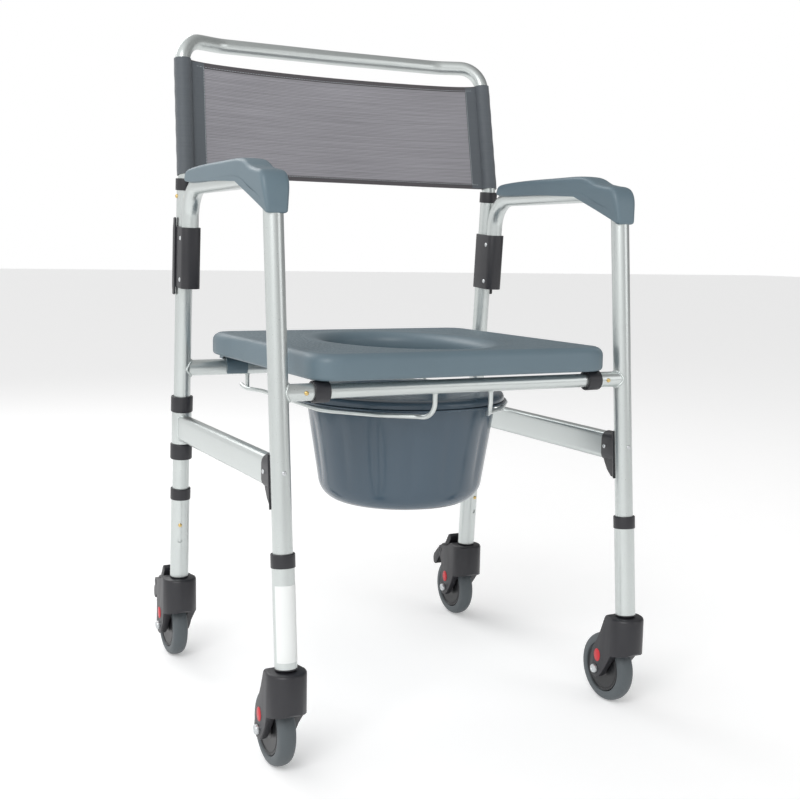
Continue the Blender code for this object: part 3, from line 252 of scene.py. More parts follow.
def bent(points, radii, steps=14):
    """A route of straight runs whose corners are rounded to the bend radii."""
    points = [Vector(p) for p in points]
    route = [points[0]]
    for before, corner, after, radius in zip(points, points[1:], points[2:], radii):
        into, out = (before - corner).normalized(), (after - corner).normalized()
        half = into.angle(out) / 2
        centre = corner + (into + out).normalized() * radius / math.sin(half)
        a, b = corner + into * radius / math.tan(half) - centre, corner + out * radius / math.tan(half) - centre
        axis, turn = a.cross(b).normalized(), a.angle(b)
        route += [centre + Matrix.Rotation(turn * i / steps, 3, axis) @ a for i in range(steps + 1)]
    return route + [points[-1]]


def sections(route, outline):
    """The outline's points carried along a route without twist."""
    route = [Vector(p) for p in route]
    up, rings = None, []
    for i, place in enumerate(route):
        ahead = (route[min(i + 1, len(route) - 1)] - route[max(i - 1, 0)]).normalized()
        if up is None:
            up = Vector((1, 0, 0)) if abs(ahead.x) < 0.9 else Vector((0, 0, 1))
        up = (up - ahead * up.dot(ahead)).normalized()
        across = ahead.cross(up)
        rings.append([place + up * u + across * v for u, v in outline])
    return rings


def ring_of(radius, steps=40):
    return [
        (radius * math.cos(2 * math.pi * i / steps), radius * math.sin(2 * math.pi * i / steps))
        for i in range(steps)
    ]


def pipe(name, route, radius, wall=None, steps=40):
    """An open tube with a wall along a route, or a solid rod where there is no wall."""
    outside = sections(route, ring_of(radius, steps))
    if not wall:
        return skin(name, outside)
    inside = sections(route, ring_of(radius - wall, steps))
    return skin(name, outside + inside[::-1], loop=True)


def slab(name, outline, thick, matrix, radius=0.0008):
    """A flat outline with a thickness and softened edges, centred on its plane."""
    half = thick / 2
    points = [Vector(p) for p in outline]
    centre = sum(points, Vector((0, 0))) / len(points)
    reach = max((p - centre).length for p in points)
    soft = min(radius, half)
    rings = []
    for z, inward in ((-half, soft), (-half + soft, 0.0), (half - soft, 0.0), (half, soft)):
        flat = [centre + (p - centre) * (1 - inward / reach) for p in points]
        rings.append([matrix @ p.to_3d() + matrix.to_3x3() @ Vector((0, 0, z)) for p in flat])
    return skin(name, rings, sharp=60)


def plain(obj, name, sharp=42.0):
    """An object's evaluated result as a mesh, with the object removed."""
    bpy.context.view_layer.update()
    mesh = bpy.data.meshes.new_from_object(obj.evaluated_get(bpy.context.evaluated_depsgraph_get()))
    bpy.data.objects.remove(obj, do_unlink=True)
    mesh.name = name
    mesh.shade_smooth()
    mesh.set_sharp_from_angle(angle=math.radians(sharp))
    return mesh


def holding(name, mesh):
    """A working object for modifiers."""
    obj = bpy.data.objects.new(name, mesh)
    bpy.context.scene.collection.objects.link(obj)
    return obj


def drilled(mesh, *tools):
    """A mesh with other closed meshes cut out of it."""
    obj = holding("drilled", mesh)
    bits = [holding("bit", tool) for tool in tools]
    for bit in bits:
        cut = obj.modifiers.new("cut", "BOOLEAN")
        cut.operation, cut.solver, cut.object = "DIFFERENCE", "EXACT", bit
    made = plain(obj, mesh.name)
    for bit in bits:
        bpy.data.objects.remove(bit, do_unlink=True)
    return made


def refined(node, width=0.0009):
    """A welded copy of a CAD node with softened edges."""
    bm = bmesh.new()
    bm.from_mesh(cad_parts[node].data)
    bmesh.ops.remove_doubles(bm, verts=bm.verts, dist=2e-5)
    bmesh.ops.dissolve_limit(bm, angle_limit=math.radians(1.0), verts=bm.verts, edges=bm.edges)
    mesh = bpy.data.meshes.new(node)
    bm.to_mesh(mesh)
    bm.free()
    obj = holding(node + "_copy", mesh)
    edge = obj.modifiers.new("edge", "BEVEL")
    edge.width, edge.segments, edge.limit_method = width, 3, "ANGLE"
    edge.angle_limit, edge.use_clamp_overlap = math.radians(38), True
    return plain(obj, node + "_refined", 50)


def rounded_up(mesh, levels=2):
    """A mesh with a Subdivision Surface applied."""
    obj = holding("rounded", mesh)
    sub = obj.modifiers.new("sub", "SUBSURF")
    sub.levels = sub.render_levels = levels
    return plain(obj, mesh.name, 80)


def show(name, mesh, body, slot, material, *nodes):
    """A finished mesh as a piece on a body, in the place of CAD nodes."""
    obj = bpy.data.objects.new(name, mesh)
    bpy.context.scene.collection.objects.link(obj)
    mesh.materials.clear()
    mesh.materials.append(material)
    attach(obj, body)
    if nodes:
        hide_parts(*nodes)
    return obj


# ---- geometry nodes --------------------------------------------------------------------------
class Tree:
    """A Geometry Nodes group with a geometry socket in and out, and named size sockets."""

    def __init__(self, name, sockets):
        self.group = bpy.data.node_groups.new(name, "GeometryNodeTree")
        face = self.group.interface
        face.new_socket("Geometry", in_out="INPUT", socket_type="NodeSocketGeometry")
        for label, kind, value in sockets:
            made = face.new_socket(label, in_out="INPUT", socket_type="NodeSocket" + kind)
            if value is not None:
                made.default_value = value
        face.new_socket("Geometry", in_out="OUTPUT", socket_type="NodeSocketGeometry")
        self.enter = self.group.nodes.new("NodeGroupInput").outputs
        self.leave = self.group.nodes.new("NodeGroupOutput").inputs

    def add(self, kind, links=(), values=(), **settings):
        """A node with its settings, its socket values and its incoming links."""
        made = self.group.nodes.new(kind)
        for key, value in settings.items():
            setattr(made, key, value)
        for key, value in values:
            made.inputs[key].default_value = value
        for key, source in links:
            self.group.links.new(source, made.inputs[key])
        return made.outputs

    def close(self, geometry):
        """Realises what was made, sets its material and ends the tree."""
        real = self.add("GeometryNodeRealizeInstances", [("Geometry", geometry)])
        smooth = self.add("GeometryNodeSetShadeSmooth", [("Geometry", real[0])])
        last = self.add(
            "GeometryNodeSetMaterial", [("Geometry", smooth[0]), ("Material", self.enter["Material"])]
        )
        self.group.links.new(last[0], self.leave["Geometry"])
        return self.group


def grown(name, mesh, group, **values):
    """What a Geometry Nodes group makes of a mesh, as a plain mesh."""
    obj = holding(name, mesh)
    modifier = obj.modifiers.new("grow", "NODES")
    modifier.node_group = group
    for item in group.interface.items_tree:
        key = item.name.lower().replace(" ", "_")
        if item.in_out == "INPUT" and key in values:
            modifier[item.identifier] = values[key]
    return plain(obj, name, 50)


def stud_tree():
    """Rivets, screws and weld drops: a dome on a flange at every vertex, along its 'out' vector."""
    tree = Tree("commode_studs", [("Radius", "Float", 0.003), ("Height", "Float", 0.0015), ("Material", "Material", None)])
    ball = tree.add("GeometryNodeMeshUVSphere", [("Radius", tree.enter["Radius"])], [("Segments", 20), ("Rings", 12)])
    share = tree.add("ShaderNodeMath", [(0, tree.enter["Height"]), (1, tree.enter["Radius"])], operation="DIVIDE")
    scale = tree.add("ShaderNodeCombineXYZ", [("Z", share[0])], [("X", 1.0), ("Y", 1.0)])
    dome = tree.add("GeometryNodeTransform", [("Geometry", ball["Mesh"]), ("Scale", scale[0])])
    out = tree.add("GeometryNodeInputNamedAttribute", (), [("Name", "out")], data_type="FLOAT_VECTOR")
    turn = tree.add("FunctionNodeAlignRotationToVector", [("Vector", out["Attribute"])], (), axis="Z")
    spread = tree.add(
        "GeometryNodeInstanceOnPoints",
        [("Points", tree.enter["Geometry"]), ("Instance", dome[0]), ("Rotation", turn[0])],
    )
    return tree.close(spread[0])


def stitch_tree():
    """Stitches: short rounded rods laid end to end along edges."""
    tree = Tree(
        "commode_stitches",
        [("Pitch", "Float", 0.004), ("Radius", "Float", 0.0003), ("Material", "Material", None)],
    )
    line = tree.add("GeometryNodeMeshToCurve", [("Mesh", tree.enter["Geometry"])])
    points = tree.add("GeometryNodeCurveToPoints", [("Curve", line[0]), ("Length", tree.enter["Pitch"])], (), mode="LENGTH")
    run = tree.add("ShaderNodeMath", [(0, tree.enter["Pitch"])], [(1, 0.68)], operation="MULTIPLY")
    rod = tree.add(
        "GeometryNodeMeshCylinder", [("Radius", tree.enter["Radius"]), ("Depth", run[0])], [("Vertices", 6)]
    )
    turn = tree.add("FunctionNodeAlignRotationToVector", [("Vector", points["Tangent"])], (), axis="Z")
    spread = tree.add(
        "GeometryNodeInstanceOnPoints", [("Points", points["Points"]), ("Instance", rod["Mesh"]), ("Rotation", turn[0])]
    )
    return tree.close(spread[0])


def bead_tree():
    """Weld beads: overlapping drops along edges."""
    tree = Tree(
        "commode_beads",
        [("Pitch", "Float", 0.0012), ("Radius", "Float", 0.0015), ("Material", "Material", None)],
    )
    line = tree.add("GeometryNodeMeshToCurve", [("Mesh", tree.enter["Geometry"])])
    points = tree.add("GeometryNodeCurveToPoints", [("Curve", line[0]), ("Length", tree.enter["Pitch"])], (), mode="LENGTH")
    ball = tree.add("GeometryNodeMeshUVSphere", [("Radius", tree.enter["Radius"])], [("Segments", 10), ("Rings", 6)])
    spread = tree.add("GeometryNodeInstanceOnPoints", [("Points", points["Points"]), ("Instance", ball["Mesh"])])
    return tree.close(spread[0])


def rail_tree():
    """Wire rails: edges filleted and given a round section."""
    tree = Tree(
        "commode_rails",
        [("Radius", "Float", 0.003), ("Fillet", "Float", 0.012), ("Material", "Material", None)],
    )
    line = tree.add("GeometryNodeMeshToCurve", [("Mesh", tree.enter["Geometry"])])
    fillet = tree.add(
        "GeometryNodeFilletCurve", [("Curve", line[0]), ("Radius", tree.enter["Fillet"])],
        [("Count", 8), ("Limit Radius", True)], mode="POLY",
    )
    ring = tree.add("GeometryNodeCurvePrimitiveCircle", [("Radius", tree.enter["Radius"])], [("Resolution", 20)], mode="RADIUS")
    rod = tree.add(
        "GeometryNodeCurveToMesh", [("Curve", fillet[0]), ("Profile Curve", ring["Curve"])], [("Fill Caps", True)]
    )
    return tree.close(rod[0])


def line_mesh(*lines):
    """Chains of points as edges; a line that ends where it starts is closed."""
    mesh = bpy.data.meshes.new("line")
    verts, edges = [], []
    for line in lines:
        first = len(verts)
        loop = (Vector(line[0]) - Vector(line[-1])).length < 1e-7
        points = line[:-1] if loop else line
        verts += [tuple(p) for p in points]
        edges += [(first + i, first + i + 1) for i in range(len(points) - 1)]
        if loop:
            edges.append((first + len(points) - 1, first))
    mesh.from_pydata(verts, edges, [])
    return mesh


def studs(name, places, radius, height, material):
    """Domes at (place, direction) pairs."""
    mesh = bpy.data.meshes.new("places")
    mesh.from_pydata([tuple(p) for p, _ in places], [], [])
    out = mesh.attributes.new("out", "FLOAT_VECTOR", "POINT")
    for item, (_, direction) in zip(out.data, places):
        item.vector = Vector(direction)
    return grown(name, mesh, stud_tree(), radius=radius, height=height, material=material)


def weld_ring(centre, axis, branch_r, main_r, main_axis):
    """Where a branch tube meets a main tube square on: a closed line round the branch."""
    axis, main_axis = Vector(axis).normalized(), Vector(main_axis).normalized()
    across = axis.cross(main_axis).normalized()
    line = []
    for i in range(49):
        a = 2 * math.pi * (i % 48) / 48
        u, v = branch_r * math.cos(a), branch_r * math.sin(a)
        line.append(Vector(centre) + across * u + main_axis * v + axis * math.sqrt(main_r**2 - u * u))
    return line


# ---- materials -------------------------------------------------------------------------------
def finish(name, colour, roughness, metallic=0.0, grain=300.0, bump=0.02, vary=0.06, stretch=(1, 1, 1),
           coat=0.0, specular=0.5, sheen=0.0, wear=0.0):
    """A finish with fine variation in its colour and roughness, and a fine bump."""
    if name in bpy.data.materials:
        return bpy.data.materials[name]
    made = bpy.data.materials.new(name)
    made.use_nodes = True
    nodes, links = made.node_tree.nodes, made.node_tree.links
    shader = nodes["Principled BSDF"]
    shader.inputs["Metallic"].default_value = metallic
    shader.inputs["Coat Weight"].default_value = coat
    shader.inputs["Coat Roughness"].default_value = 0.12
    shader.inputs["Specular IOR Level"].default_value = specular
    shader.inputs["Sheen Weight"].default_value = sheen
    place = nodes.new("ShaderNodeTexCoord")
    mapping = nodes.new("ShaderNodeMapping")
    mapping.inputs["Scale"].default_value = stretch
    links.new(place.outputs["Object"], mapping.inputs["Vector"])

    def cloud(scale, detail):
        texture = nodes.new("ShaderNodeTexNoise")
        texture.inputs["Scale"].default_value = scale
        texture.inputs["Detail"].default_value = detail
        links.new(mapping.outputs[0], texture.inputs["Vector"])
        return texture.outputs["Fac"]

    broad, fine = cloud(14.0, 3.0), cloud(grain, 4.0)
    shade = nodes.new("ShaderNodeMix")
    shade.data_type = "RGBA"
    shade.inputs["A"].default_value = (*[c * (1 - vary) for c in colour], 1)
    shade.inputs["B"].default_value = (*[min(1.0, c * (1 + vary)) for c in colour], 1)
    links.new(broad, shade.inputs["Factor"])
    links.new(shade.outputs["Result"], shader.inputs["Base Color"])
    rough = nodes.new("ShaderNodeMapRange")
    rough.inputs["To Min"].default_value = max(0.02, roughness * (1 - 0.15 - wear))
    rough.inputs["To Max"].default_value = min(1.0, roughness * (1 + 0.15 + wear))
    links.new(fine, rough.inputs["Value"])
    links.new(rough.outputs[0], shader.inputs["Roughness"])
    raised = nodes.new("ShaderNodeBump")
    raised.inputs["Strength"].default_value = bump
    raised.inputs["Distance"].default_value = 0.001
    links.new(fine, raised.inputs["Height"])
    links.new(raised.outputs[0], shader.inputs["Normal"])
    return made


def aluminium():
    return finish("satin_aluminium", colours().aluminium, 0.30, metallic=0.85, grain=900, bump=0.03, vary=0.02, wear=0.1)


def black_plastic():
    return finish("black_plastic", colours().black, 0.44, grain=1400, bump=0.12, vary=0.25, specular=0.34)


def zinc():
    return finish("zinc", colours().zinc, 0.3, metallic=1.0, grain=700, bump=0.05)


def brass():
    return finish("brass", colours().brass, 0.3, metallic=1.0, grain=700, bump=0.05)


def pad_foam(pebbled=False):
    """Skinned foam: fine orange peel, with pebbles on the flat of the seat where asked."""
    name = "pebbled_foam" if pebbled else "smooth_foam"
    if name in bpy.data.materials:
        return bpy.data.materials[name]
    made = finish(name, colours().pad, 0.42, grain=1100, bump=0.10, vary=0.07, specular=0.5)
    if not pebbled:
        return made
    nodes, links = made.node_tree.nodes, made.node_tree.links
    shader = nodes["Principled BSDF"]
    old = shader.inputs["Normal"].links[0].from_node
    place = nodes.new("ShaderNodeTexCoord")
    mask = nodes.new("ShaderNodeAttribute")
    mask.attribute_name = "pebble"
    cells = nodes.new("ShaderNodeTexVoronoi")
    cells.feature = "SMOOTH_F1"
    cells.inputs["Scale"].default_value = 1.0 / pads().pebble
    cells.inputs["Smoothness"].default_value = 0.4
    links.new(place.outputs["Object"], cells.inputs["Vector"])
    height = nodes.new("ShaderNodeMath")
    height.operation = "MULTIPLY"
    links.new(cells.outputs["Distance"], height.inputs[0])
    links.new(mask.outputs["Fac"], height.inputs[1])
    raised = nodes.new("ShaderNodeBump")
    raised.invert = True
    raised.inputs["Strength"].default_value = 0.9
    raised.inputs["Distance"].default_value = 0.0016
    links.new(height.outputs[0], raised.inputs["Height"])
    links.new(old.outputs[0], raised.inputs["Normal"])
    links.new(raised.outputs[0], shader.inputs["Normal"])
    return made


def woven(name, colour, across, up, strength, roughness=0.75, painted_shade_and_tone=0.35, sheen=0.15):
    """Cloth on the UV map, which is in metres: ribs at two pitches, lighter on their crowns."""
    if name in bpy.data.materials:
        return bpy.data.materials[name]
    made = bpy.data.materials.new(name)
    made.use_nodes = True
    nodes, links = made.node_tree.nodes, made.node_tree.links
    shader = nodes["Principled BSDF"]
    shader.inputs["Roughness"].default_value = roughness
    shader.inputs["Sheen Weight"].default_value = sheen
    shader.inputs["Specular IOR Level"].default_value = 0.3
    uv = nodes.new("ShaderNodeUVMap")
    uv.uv_map = "UVMap"

    def ribs(pitch, direction, wander):
        wave = nodes.new("ShaderNodeTexWave")
        wave.bands_direction = direction
        wave.inputs["Scale"].default_value = math.pi / (10 * pitch)
        wave.inputs["Distortion"].default_value = wander
        wave.inputs["Detail Scale"].default_value = 3.0
        links.new(uv.outputs[0], wave.inputs["Vector"])
        return wave.outputs["Fac"]

    rows, columns = ribs(up, "Y", 0.4), ribs(across, "X", 0.2)
    both = nodes.new("ShaderNodeMath")
    both.operation = "MULTIPLY_ADD"
    both.inputs[1].default_value = 0.35
    links.new(columns, both.inputs[0])
    links.new(rows, both.inputs[2])
    streak_map = nodes.new("ShaderNodeMapping")
    streak_map.inputs["Scale"].default_value = (6.0, 420.0, 1.0)
    links.new(uv.outputs[0], streak_map.inputs["Vector"])
    streak = nodes.new("ShaderNodeTexNoise")
    streak.inputs["Scale"].default_value = 1.0
    streak.inputs["Detail"].default_value = 3.0
    links.new(streak_map.outputs[0], streak.inputs["Vector"])
    level = nodes.new("ShaderNodeMath")
    level.operation = "MULTIPLY_ADD"
    level.inputs[1].default_value = 1.1
    level.inputs[2].default_value = -0.3
    links.new(streak.outputs["Fac"], level.inputs[0])
    mixed = nodes.new("ShaderNodeMath")
    mixed.operation = "MULTIPLY_ADD"
    mixed.inputs[1].default_value = 0.45
    links.new(both.outputs[0], mixed.inputs[0])
    links.new(level.outputs[0], mixed.inputs[2])
    # The colour follows the rib height: painted highlight on the crowns and painted shade in the troughs, plus random
    # streaks of tone.
    shade = nodes.new("ShaderNodeMix")
    shade.data_type = "RGBA"
    shade.clamp_factor = True
    shade.inputs["A"].default_value = (*[c * (1 - painted_shade_and_tone) for c in colour], 1)
    shade.inputs["B"].default_value = (*[min(1.0, c * (1 + painted_shade_and_tone)) for c in colour], 1)
    links.new(mixed.outputs[0], shade.inputs["Factor"])
    links.new(shade.outputs["Result"], shader.inputs["Base Color"])
    raised = nodes.new("ShaderNodeBump")
    raised.inputs["Strength"].default_value = strength
    raised.inputs["Distance"].default_value = 0.0006
    links.new(both.outputs[0], raised.inputs["Height"])
    links.new(raised.outputs[0], shader.inputs["Normal"])
    return made


# ---- metal frame -----------------------------------------------------------------------------
def post_piece():
    """The two rear posts and the cross tube, welded."""
    t = tubes()
    length = along_post(t.post_top)
    cross_y = rear_y(t.cross_height)
    parts, welds = [], []
    for _, side in SIDES:
        own = leg_frame(side, 1)
        parts.append(pipe("post", [own @ Vector((0, 0, z)) for z in (0.0545, length)], t.frame_r, t.wall))
        centre = (side * t.half_track, cross_y, t.cross_height)
        up = (0, -math.sin(t.rear_lean), math.cos(t.rear_lean))
        welds.append(weld_ring(centre, (-side, 0, 0), t.frame_r, t.frame_r + 0.0004, up))
    reach = t.half_track - t.frame_r * 0.6
    ends = [(-reach, cross_y, t.cross_height), (reach, cross_y, t.cross_height)]
    parts.append(pipe("cross", ends, t.frame_r - 0.0003))
    parts.append(grown("welds", line_mesh(*welds), bead_tree(), pitch=0.0016, radius=0.0017, material=aluminium()))
    show("rear_posts", merged("rear_posts", parts), "frame", "aluminium_tube", aluminium(), "rear_frame")


def side_route(side):
    """Centre line of a bent side tube."""
    t = tubes()
    start = t.foot_height + 0.0545 * math.cos(t.front_lean)
    space, end = 2 * t.frame_r + 0.0008, t.arm_height - 0.141
    x = side * t.half_track
    points = [
        (x, front_y(start), start), (x, front_y(t.arm_height), t.arm_height),
        (x, rear_y(t.arm_height) - space, t.arm_height), (x, rear_y(end) - space, end),
    ]  # fmt: skip
    return bent(points, (0.050, 0.050), 20)


def side_pieces():
    """Each side's bent tube with its stub, and the oval brace with its sleeve."""
    t = tubes()
    bar_y = front_y(t.bar_height)
    for name, side in SIDES:
        body = "side_" + name
        tube = pipe("tube", side_route(side), t.frame_r, t.wall)
        inner, outer = side * 0.216, side * (t.half_track - t.frame_r * 0.6)
        stub = pipe("stub", [(inner, bar_y, t.bar_height), (outer, bar_y, t.bar_height)], 0.0111, t.wall)
        up = (0, math.sin(t.front_lean), math.cos(t.front_lean))
        ring = weld_ring((side * t.half_track, bar_y, t.bar_height), (-side, 0, 0), 0.0113, t.frame_r + 0.0004, up)
        bead = grown("bead", line_mesh(ring), bead_tree(), pitch=0.0016, radius=0.0017, material=aluminium())
        show(f"side_tube_{name}_smooth", merged("side_tube", [tube, stub, bead]), body, "aluminium_tube",
             aluminium(), "side_tube_" + name)

        own = leg_frame(side, 1)
        half = 0.025
        at = along_post(t.brace_height)
        low, high = at - half, at + half
        ring_profile = [(0.0150, low), (0.0150, high), (t.frame_r + 0.0003, high), (t.frame_r + 0.0003, low)]
        sleeve = turned("sleeve", ring_profile, own, radius=0.0006)
        front = front_y(t.brace_height) + t.frame_r + 0.0035
        back = rear_y(t.brace_height) - t.frame_r
        x = side * t.half_track
        outline = softened([(-0.02, -0.01), (0.02, -0.01), (0.02, 0.01), (-0.02, 0.01)], 0.0099, 10)
        brace = skin("brace", sections([(x, back, t.brace_height), (x, front, t.brace_height)], [(v, u) for u, v in outline]))
        oval = []
        for i in range(65):
            u, v = outline[int(i % 64 * len(outline) / 64)]
            oval.append(Vector((x + v, back - 0.0026 + abs(v) * 0.35, t.brace_height + u)))
        oval[-1] = oval[0]
        bead = grown("bead", line_mesh(oval), bead_tree(), pitch=0.0016, radius=0.0014, material=aluminium())
        show(f"side_brace_{name}_smooth", merged("side_brace", [sleeve, brace, bead]), body, "aluminium_tube",
             aluminium(), "side_brace_" + name)


def bar_piece():
    """The front bar, and the wire rails that carry the pan."""
    t = tubes()
    bar_y, cross_y = front_y(t.bar_height), rear_y(t.cross_height)
    rail_z = t.bar_height - 0.043
    rim = pads().pan_r + 0.016
    rail_x, drop_x = rim - 2 * t.rail_r + 0.0015, rim + t.rail_r + 0.0006
    bar = pipe("bar", [(-0.243, bar_y, t.bar_height), (0.243, bar_y, t.bar_height)], t.bar_r, t.wall)
    lines, beads = [], []
    for _, side in SIDES:
        x = side * 0.043
        lines.append([
            (x, bar_y, t.bar_height - t.bar_r * 0.6), (x, bar_y, rail_z), (x * 1.25, bar_y + 0.026, rail_z),
            (side * rail_x * 0.64, bar_y + 0.056, rail_z), (side * rail_x, bar_y + 0.128, rail_z),
            (side * rail_x, cross_y - 0.040, rail_z), (side * (drop_x + t.rail_r), cross_y, rail_z),
            (side * (drop_x + t.rail_r), cross_y + 0.019, rail_z + 0.004),
        ])  # fmt: skip
        lines.append([(side * drop_x, cross_y, t.cross_height - t.frame_r), (side * drop_x, cross_y, rail_z)])
        beads.append(weld_ring((x, bar_y, t.bar_height), (0, 0, -1), t.rail_r, t.bar_r, (1, 0, 0)))
        beads.append(weld_ring((side * drop_x, cross_y, t.cross_height), (0, 0, -1), t.rail_r, t.frame_r, (1, 0, 0)))
    rails = grown("rails", line_mesh(*lines), rail_tree(), radius=t.rail_r, fillet=0.05, material=aluminium())
    drops = grown("drops", line_mesh(*beads), bead_tree(), pitch=0.001, radius=0.0009, material=aluminium())
    show("front_bar_smooth", merged("front_bar", [bar, rails, drops]), "frame", "aluminium_tube", aluminium(), "front_bar")


def leg_pieces():
    """The lower legs with their free height hole, the plugs in them, and the blank label."""
    t = tubes()
    for end_name, end in ENDS:
        for name, side in SIDES:
            tag = f"{end_name}_{name}"
            own = leg_frame(side, end)
            tube = pipe("leg", [own @ Vector((0, 0, z)) for z in (0.0, 0.1385)], t.leg_r, t.wall, 48)
            turn = math.pi / 2 if end < 0 else -math.pi / 2 + side * math.radians(16)
            aim = own @ Matrix.Rotation(turn, 4, "Z")
            drill = pipe("drill", [aim @ Vector((0.005, 0, 0.0611)), aim @ Vector((0.03, 0, 0.0611))], 0.0033, steps=24)
            show(f"lower_leg_{tag}_smooth", drilled(tube, drill), "leg_" + tag, "aluminium_tube", aluminium(),
                 "lower_leg_" + tag)
            plug = [(0.0078, -0.0016), (t.leg_r + 0.0003, -0.0016), (t.leg_r + 0.0003, 0.0006),
                    (t.leg_r - t.wall, 0.0006), (t.leg_r - t.wall, 0.010), (0.0078, 0.010)]  # fmt: skip
            show("leg_plug_" + tag, turned("plug", plug, own, radius=0.0005), "leg_" + tag, "black_plastic", black_plastic())
    own = leg_frame(-1, -1)
    rings = []
    for r in (t.leg_r + 0.00005, t.leg_r + 0.00028):
        for z in (0.009, 0.105):
            rings.append([own @ Vector((r * math.cos(a), r * math.sin(a), z))
                          for a in [math.radians(-160 + 5 * i) for i in range(29)]])
    order = [rings[0], rings[1], rings[3], rings[2]]
    label = skin("label", order, loop=True, around=False)
    bm = bmesh.new()
    bm.from_mesh(label)
    bmesh.ops.holes_fill(bm, edges=bm.edges, sides=4)
    paper = finish("blank_label", (0.78, 0.80, 0.79), 0.5, grain=500, bump=0.02, vary=0.02)
    show("leg_label", mesh_of("label", bm), "leg_front_left", "aluminium_tube", paper)


# ---- black mouldings -------------------------------------------------------------------------
def collar_mesh(matrix, base, height, outer, bore, lip_bore=None, lip=0.0):
    """A moulded ring with softened edges, and a lip that closes on a thinner tube."""
    top = base + height
    profile = [(outer, top), (outer, base), (bore, base)]
    profile += [(bore, top - lip), (lip_bore, top - lip), (lip_bore, top)] if lip else [(bore, top)]
    return turned("collar", profile, matrix, radius=0.0013)


def collar_pieces():
    """Every collar on the tubes."""
    t = tubes()
    black, gap = black_plastic(), 0.0003
    length = along_post(t.post_top)
    middle_z = along_post(t.brace_height)
    for name, side in SIDES:
        own = leg_frame(side, 1)
        mesh = collar_mesh(own, length - 0.0122, 0.0175, t.frame_r + 0.0018, t.frame_r + gap, t.back_r + gap, 0.005)
        show("post_collar_smooth_" + name, mesh, "frame", "black_plastic", black, "post_collar_" + name)
        for where, low in (("upper", middle_z + 0.025 + gap), ("lower", middle_z - 0.025 - gap - 0.024)):
            mesh = collar_mesh(own, low, 0.024, t.frame_r + 0.004, t.frame_r + gap)
            show(f"hinge_collar_smooth_{where}_{name}", mesh, "frame", "black_plastic", black, f"hinge_collar_{where}_{name}")
        at = Matrix.Translation((side * 0.2195, front_y(t.bar_height), t.bar_height)) @ Matrix.Rotation(-side * math.pi / 2, 4, "Y")
        mesh = collar_mesh(at, 0.0, 0.0215, 0.0142, 0.0114, t.bar_r + gap, 0.0177)
        show("bar_collar_smooth_" + name, mesh, "side_" + name, "black_plastic", black, "bar_collar_" + name)
        for end_name, end in ENDS:
            mesh = collar_mesh(leg_frame(side, end), 0.1263, 0.0175, t.leg_r + 0.0012, t.leg_r + gap, t.frame_r + gap, 0.005)
            tag = f"{end_name}_{name}"
            show("leg_collar_smooth_" + tag, mesh, "leg_" + tag, "black_plastic", black, "leg_collar_" + tag)


def bracket_pieces():
    """The arm brackets with their rivets and catch strips, and the brace saddles with their screws."""
    t = tubes()
    black, steel = black_plastic(), zinc()
    for name, side in SIDES:
        body = "side_" + name
        show("arm_bracket_soft_" + name, refined("arm_bracket_" + name, 0.0022), body, "black_plastic", black,
             "arm_bracket_" + name)
        low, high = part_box("arm_bracket_" + name)
        face = high.x - t.half_track * side if side > 0 else -(low.x - t.half_track * side)
        x, places = side * t.half_track, []
        for z in (high.z - 0.019, low.z + 0.014):
            y = rear_y(z) - 0.0265
            places += [((x + face, y, z), (1, 0, 0)), ((x - face, y, z), (-1, 0, 0))]
        show("bracket_rivets_" + name, studs("rivets", places, 0.0034, 0.0016, steel), body, "zinc", steel)
        strip = [(-0.0045, low.z - 0.009), (0.0045, low.z - 0.009), (0.0045, low.z - 0.002), (0.006, low.z + 0.004),
                 (0.006, high.z - 0.002), (0.004, high.z + 0.004), (0.004, high.z + 0.012), (-0.004, high.z + 0.012)]  # fmt: skip
        own = Matrix(((0, 0, 1, x + side * (face + 0.0011)), (1, 0, 0, 0.0), (0, 1, 0, 0), (0, 0, 0, 1)))
        tilt = Matrix(((1, 0, 0, 0), (0, 1, -math.tan(t.rear_lean), rear_y(0.0) - 0.001), (0, 0, 1, 0), (0, 0, 0, 1)))
        strip = slab("strip", softened(strip, 0.002), 0.0022, own, 0.0006)
        strip.transform(tilt)
        show("catch_strip_" + name, strip, body, "black_plastic", black)

        show("brace_saddle_soft_" + name, refined("brace_saddle_" + name, 0.0011), body, "black_plastic", black,
             "brace_saddle_" + name)
        z = t.brace_height
        cup = 0.010 + 0.0003 + 0.0018
        places = [((x + way * cup, front_y(z) + 0.029, z), (way, 0, 0)) for way in (-1, 1)]
        places.append(((x, front_y(z + 0.004) - t.frame_r, z + 0.004), (0, -1, 0.09)))
        show("saddle_screws_" + name, studs("screws", places, 0.0031, 0.0016, steel), body, "zinc", steel)


def button_pieces():
    """The snap buttons: brass domes on short stems."""
    t = tubes()
    dome = [(0.0, -0.0052), (0.0030, -0.0052), (0.0030, 0.0004)]
    dome += [(0.0030 * math.cos(a), 0.0004 + 0.0022 * math.sin(a)) for a in [math.pi / 2 * i / 6 for i in range(1, 6)]]
    dome.append((0.0, 0.0026))
    post = along_post(t.post_top) - 0.021
    spots = []
    for name, side in SIDES:
        spots.append((f"back_button_{name}", leg_frame(side, 1), post, t.frame_r, 0 if side > 0 else math.pi))
        stub = Matrix.Translation((side * 0.231, front_y(t.bar_height), t.bar_height))
        spots.append((f"bar_button_{name}", stub, 0.0, 0.0111, -math.pi / 2))
        for end_name, end in ENDS:
            turn = math.pi / 2 if end < 0 else -math.pi / 2 + side * math.radians(16)
            spots.append((f"leg_button_{end_name}_{name}", leg_frame(side, end), 0.0865, t.leg_r, turn))
    for node, own, height, radius, turn in spots:
        at = own @ Matrix.Rotation(turn, 4, "Z") @ Matrix.Translation((radius, 0, height)) @ Matrix.Rotation(math.pi / 2, 4, "Y")
        show(node + "_dome", turned("dome", dome, at, 24, closed=False), node, "brass", brass(), node)


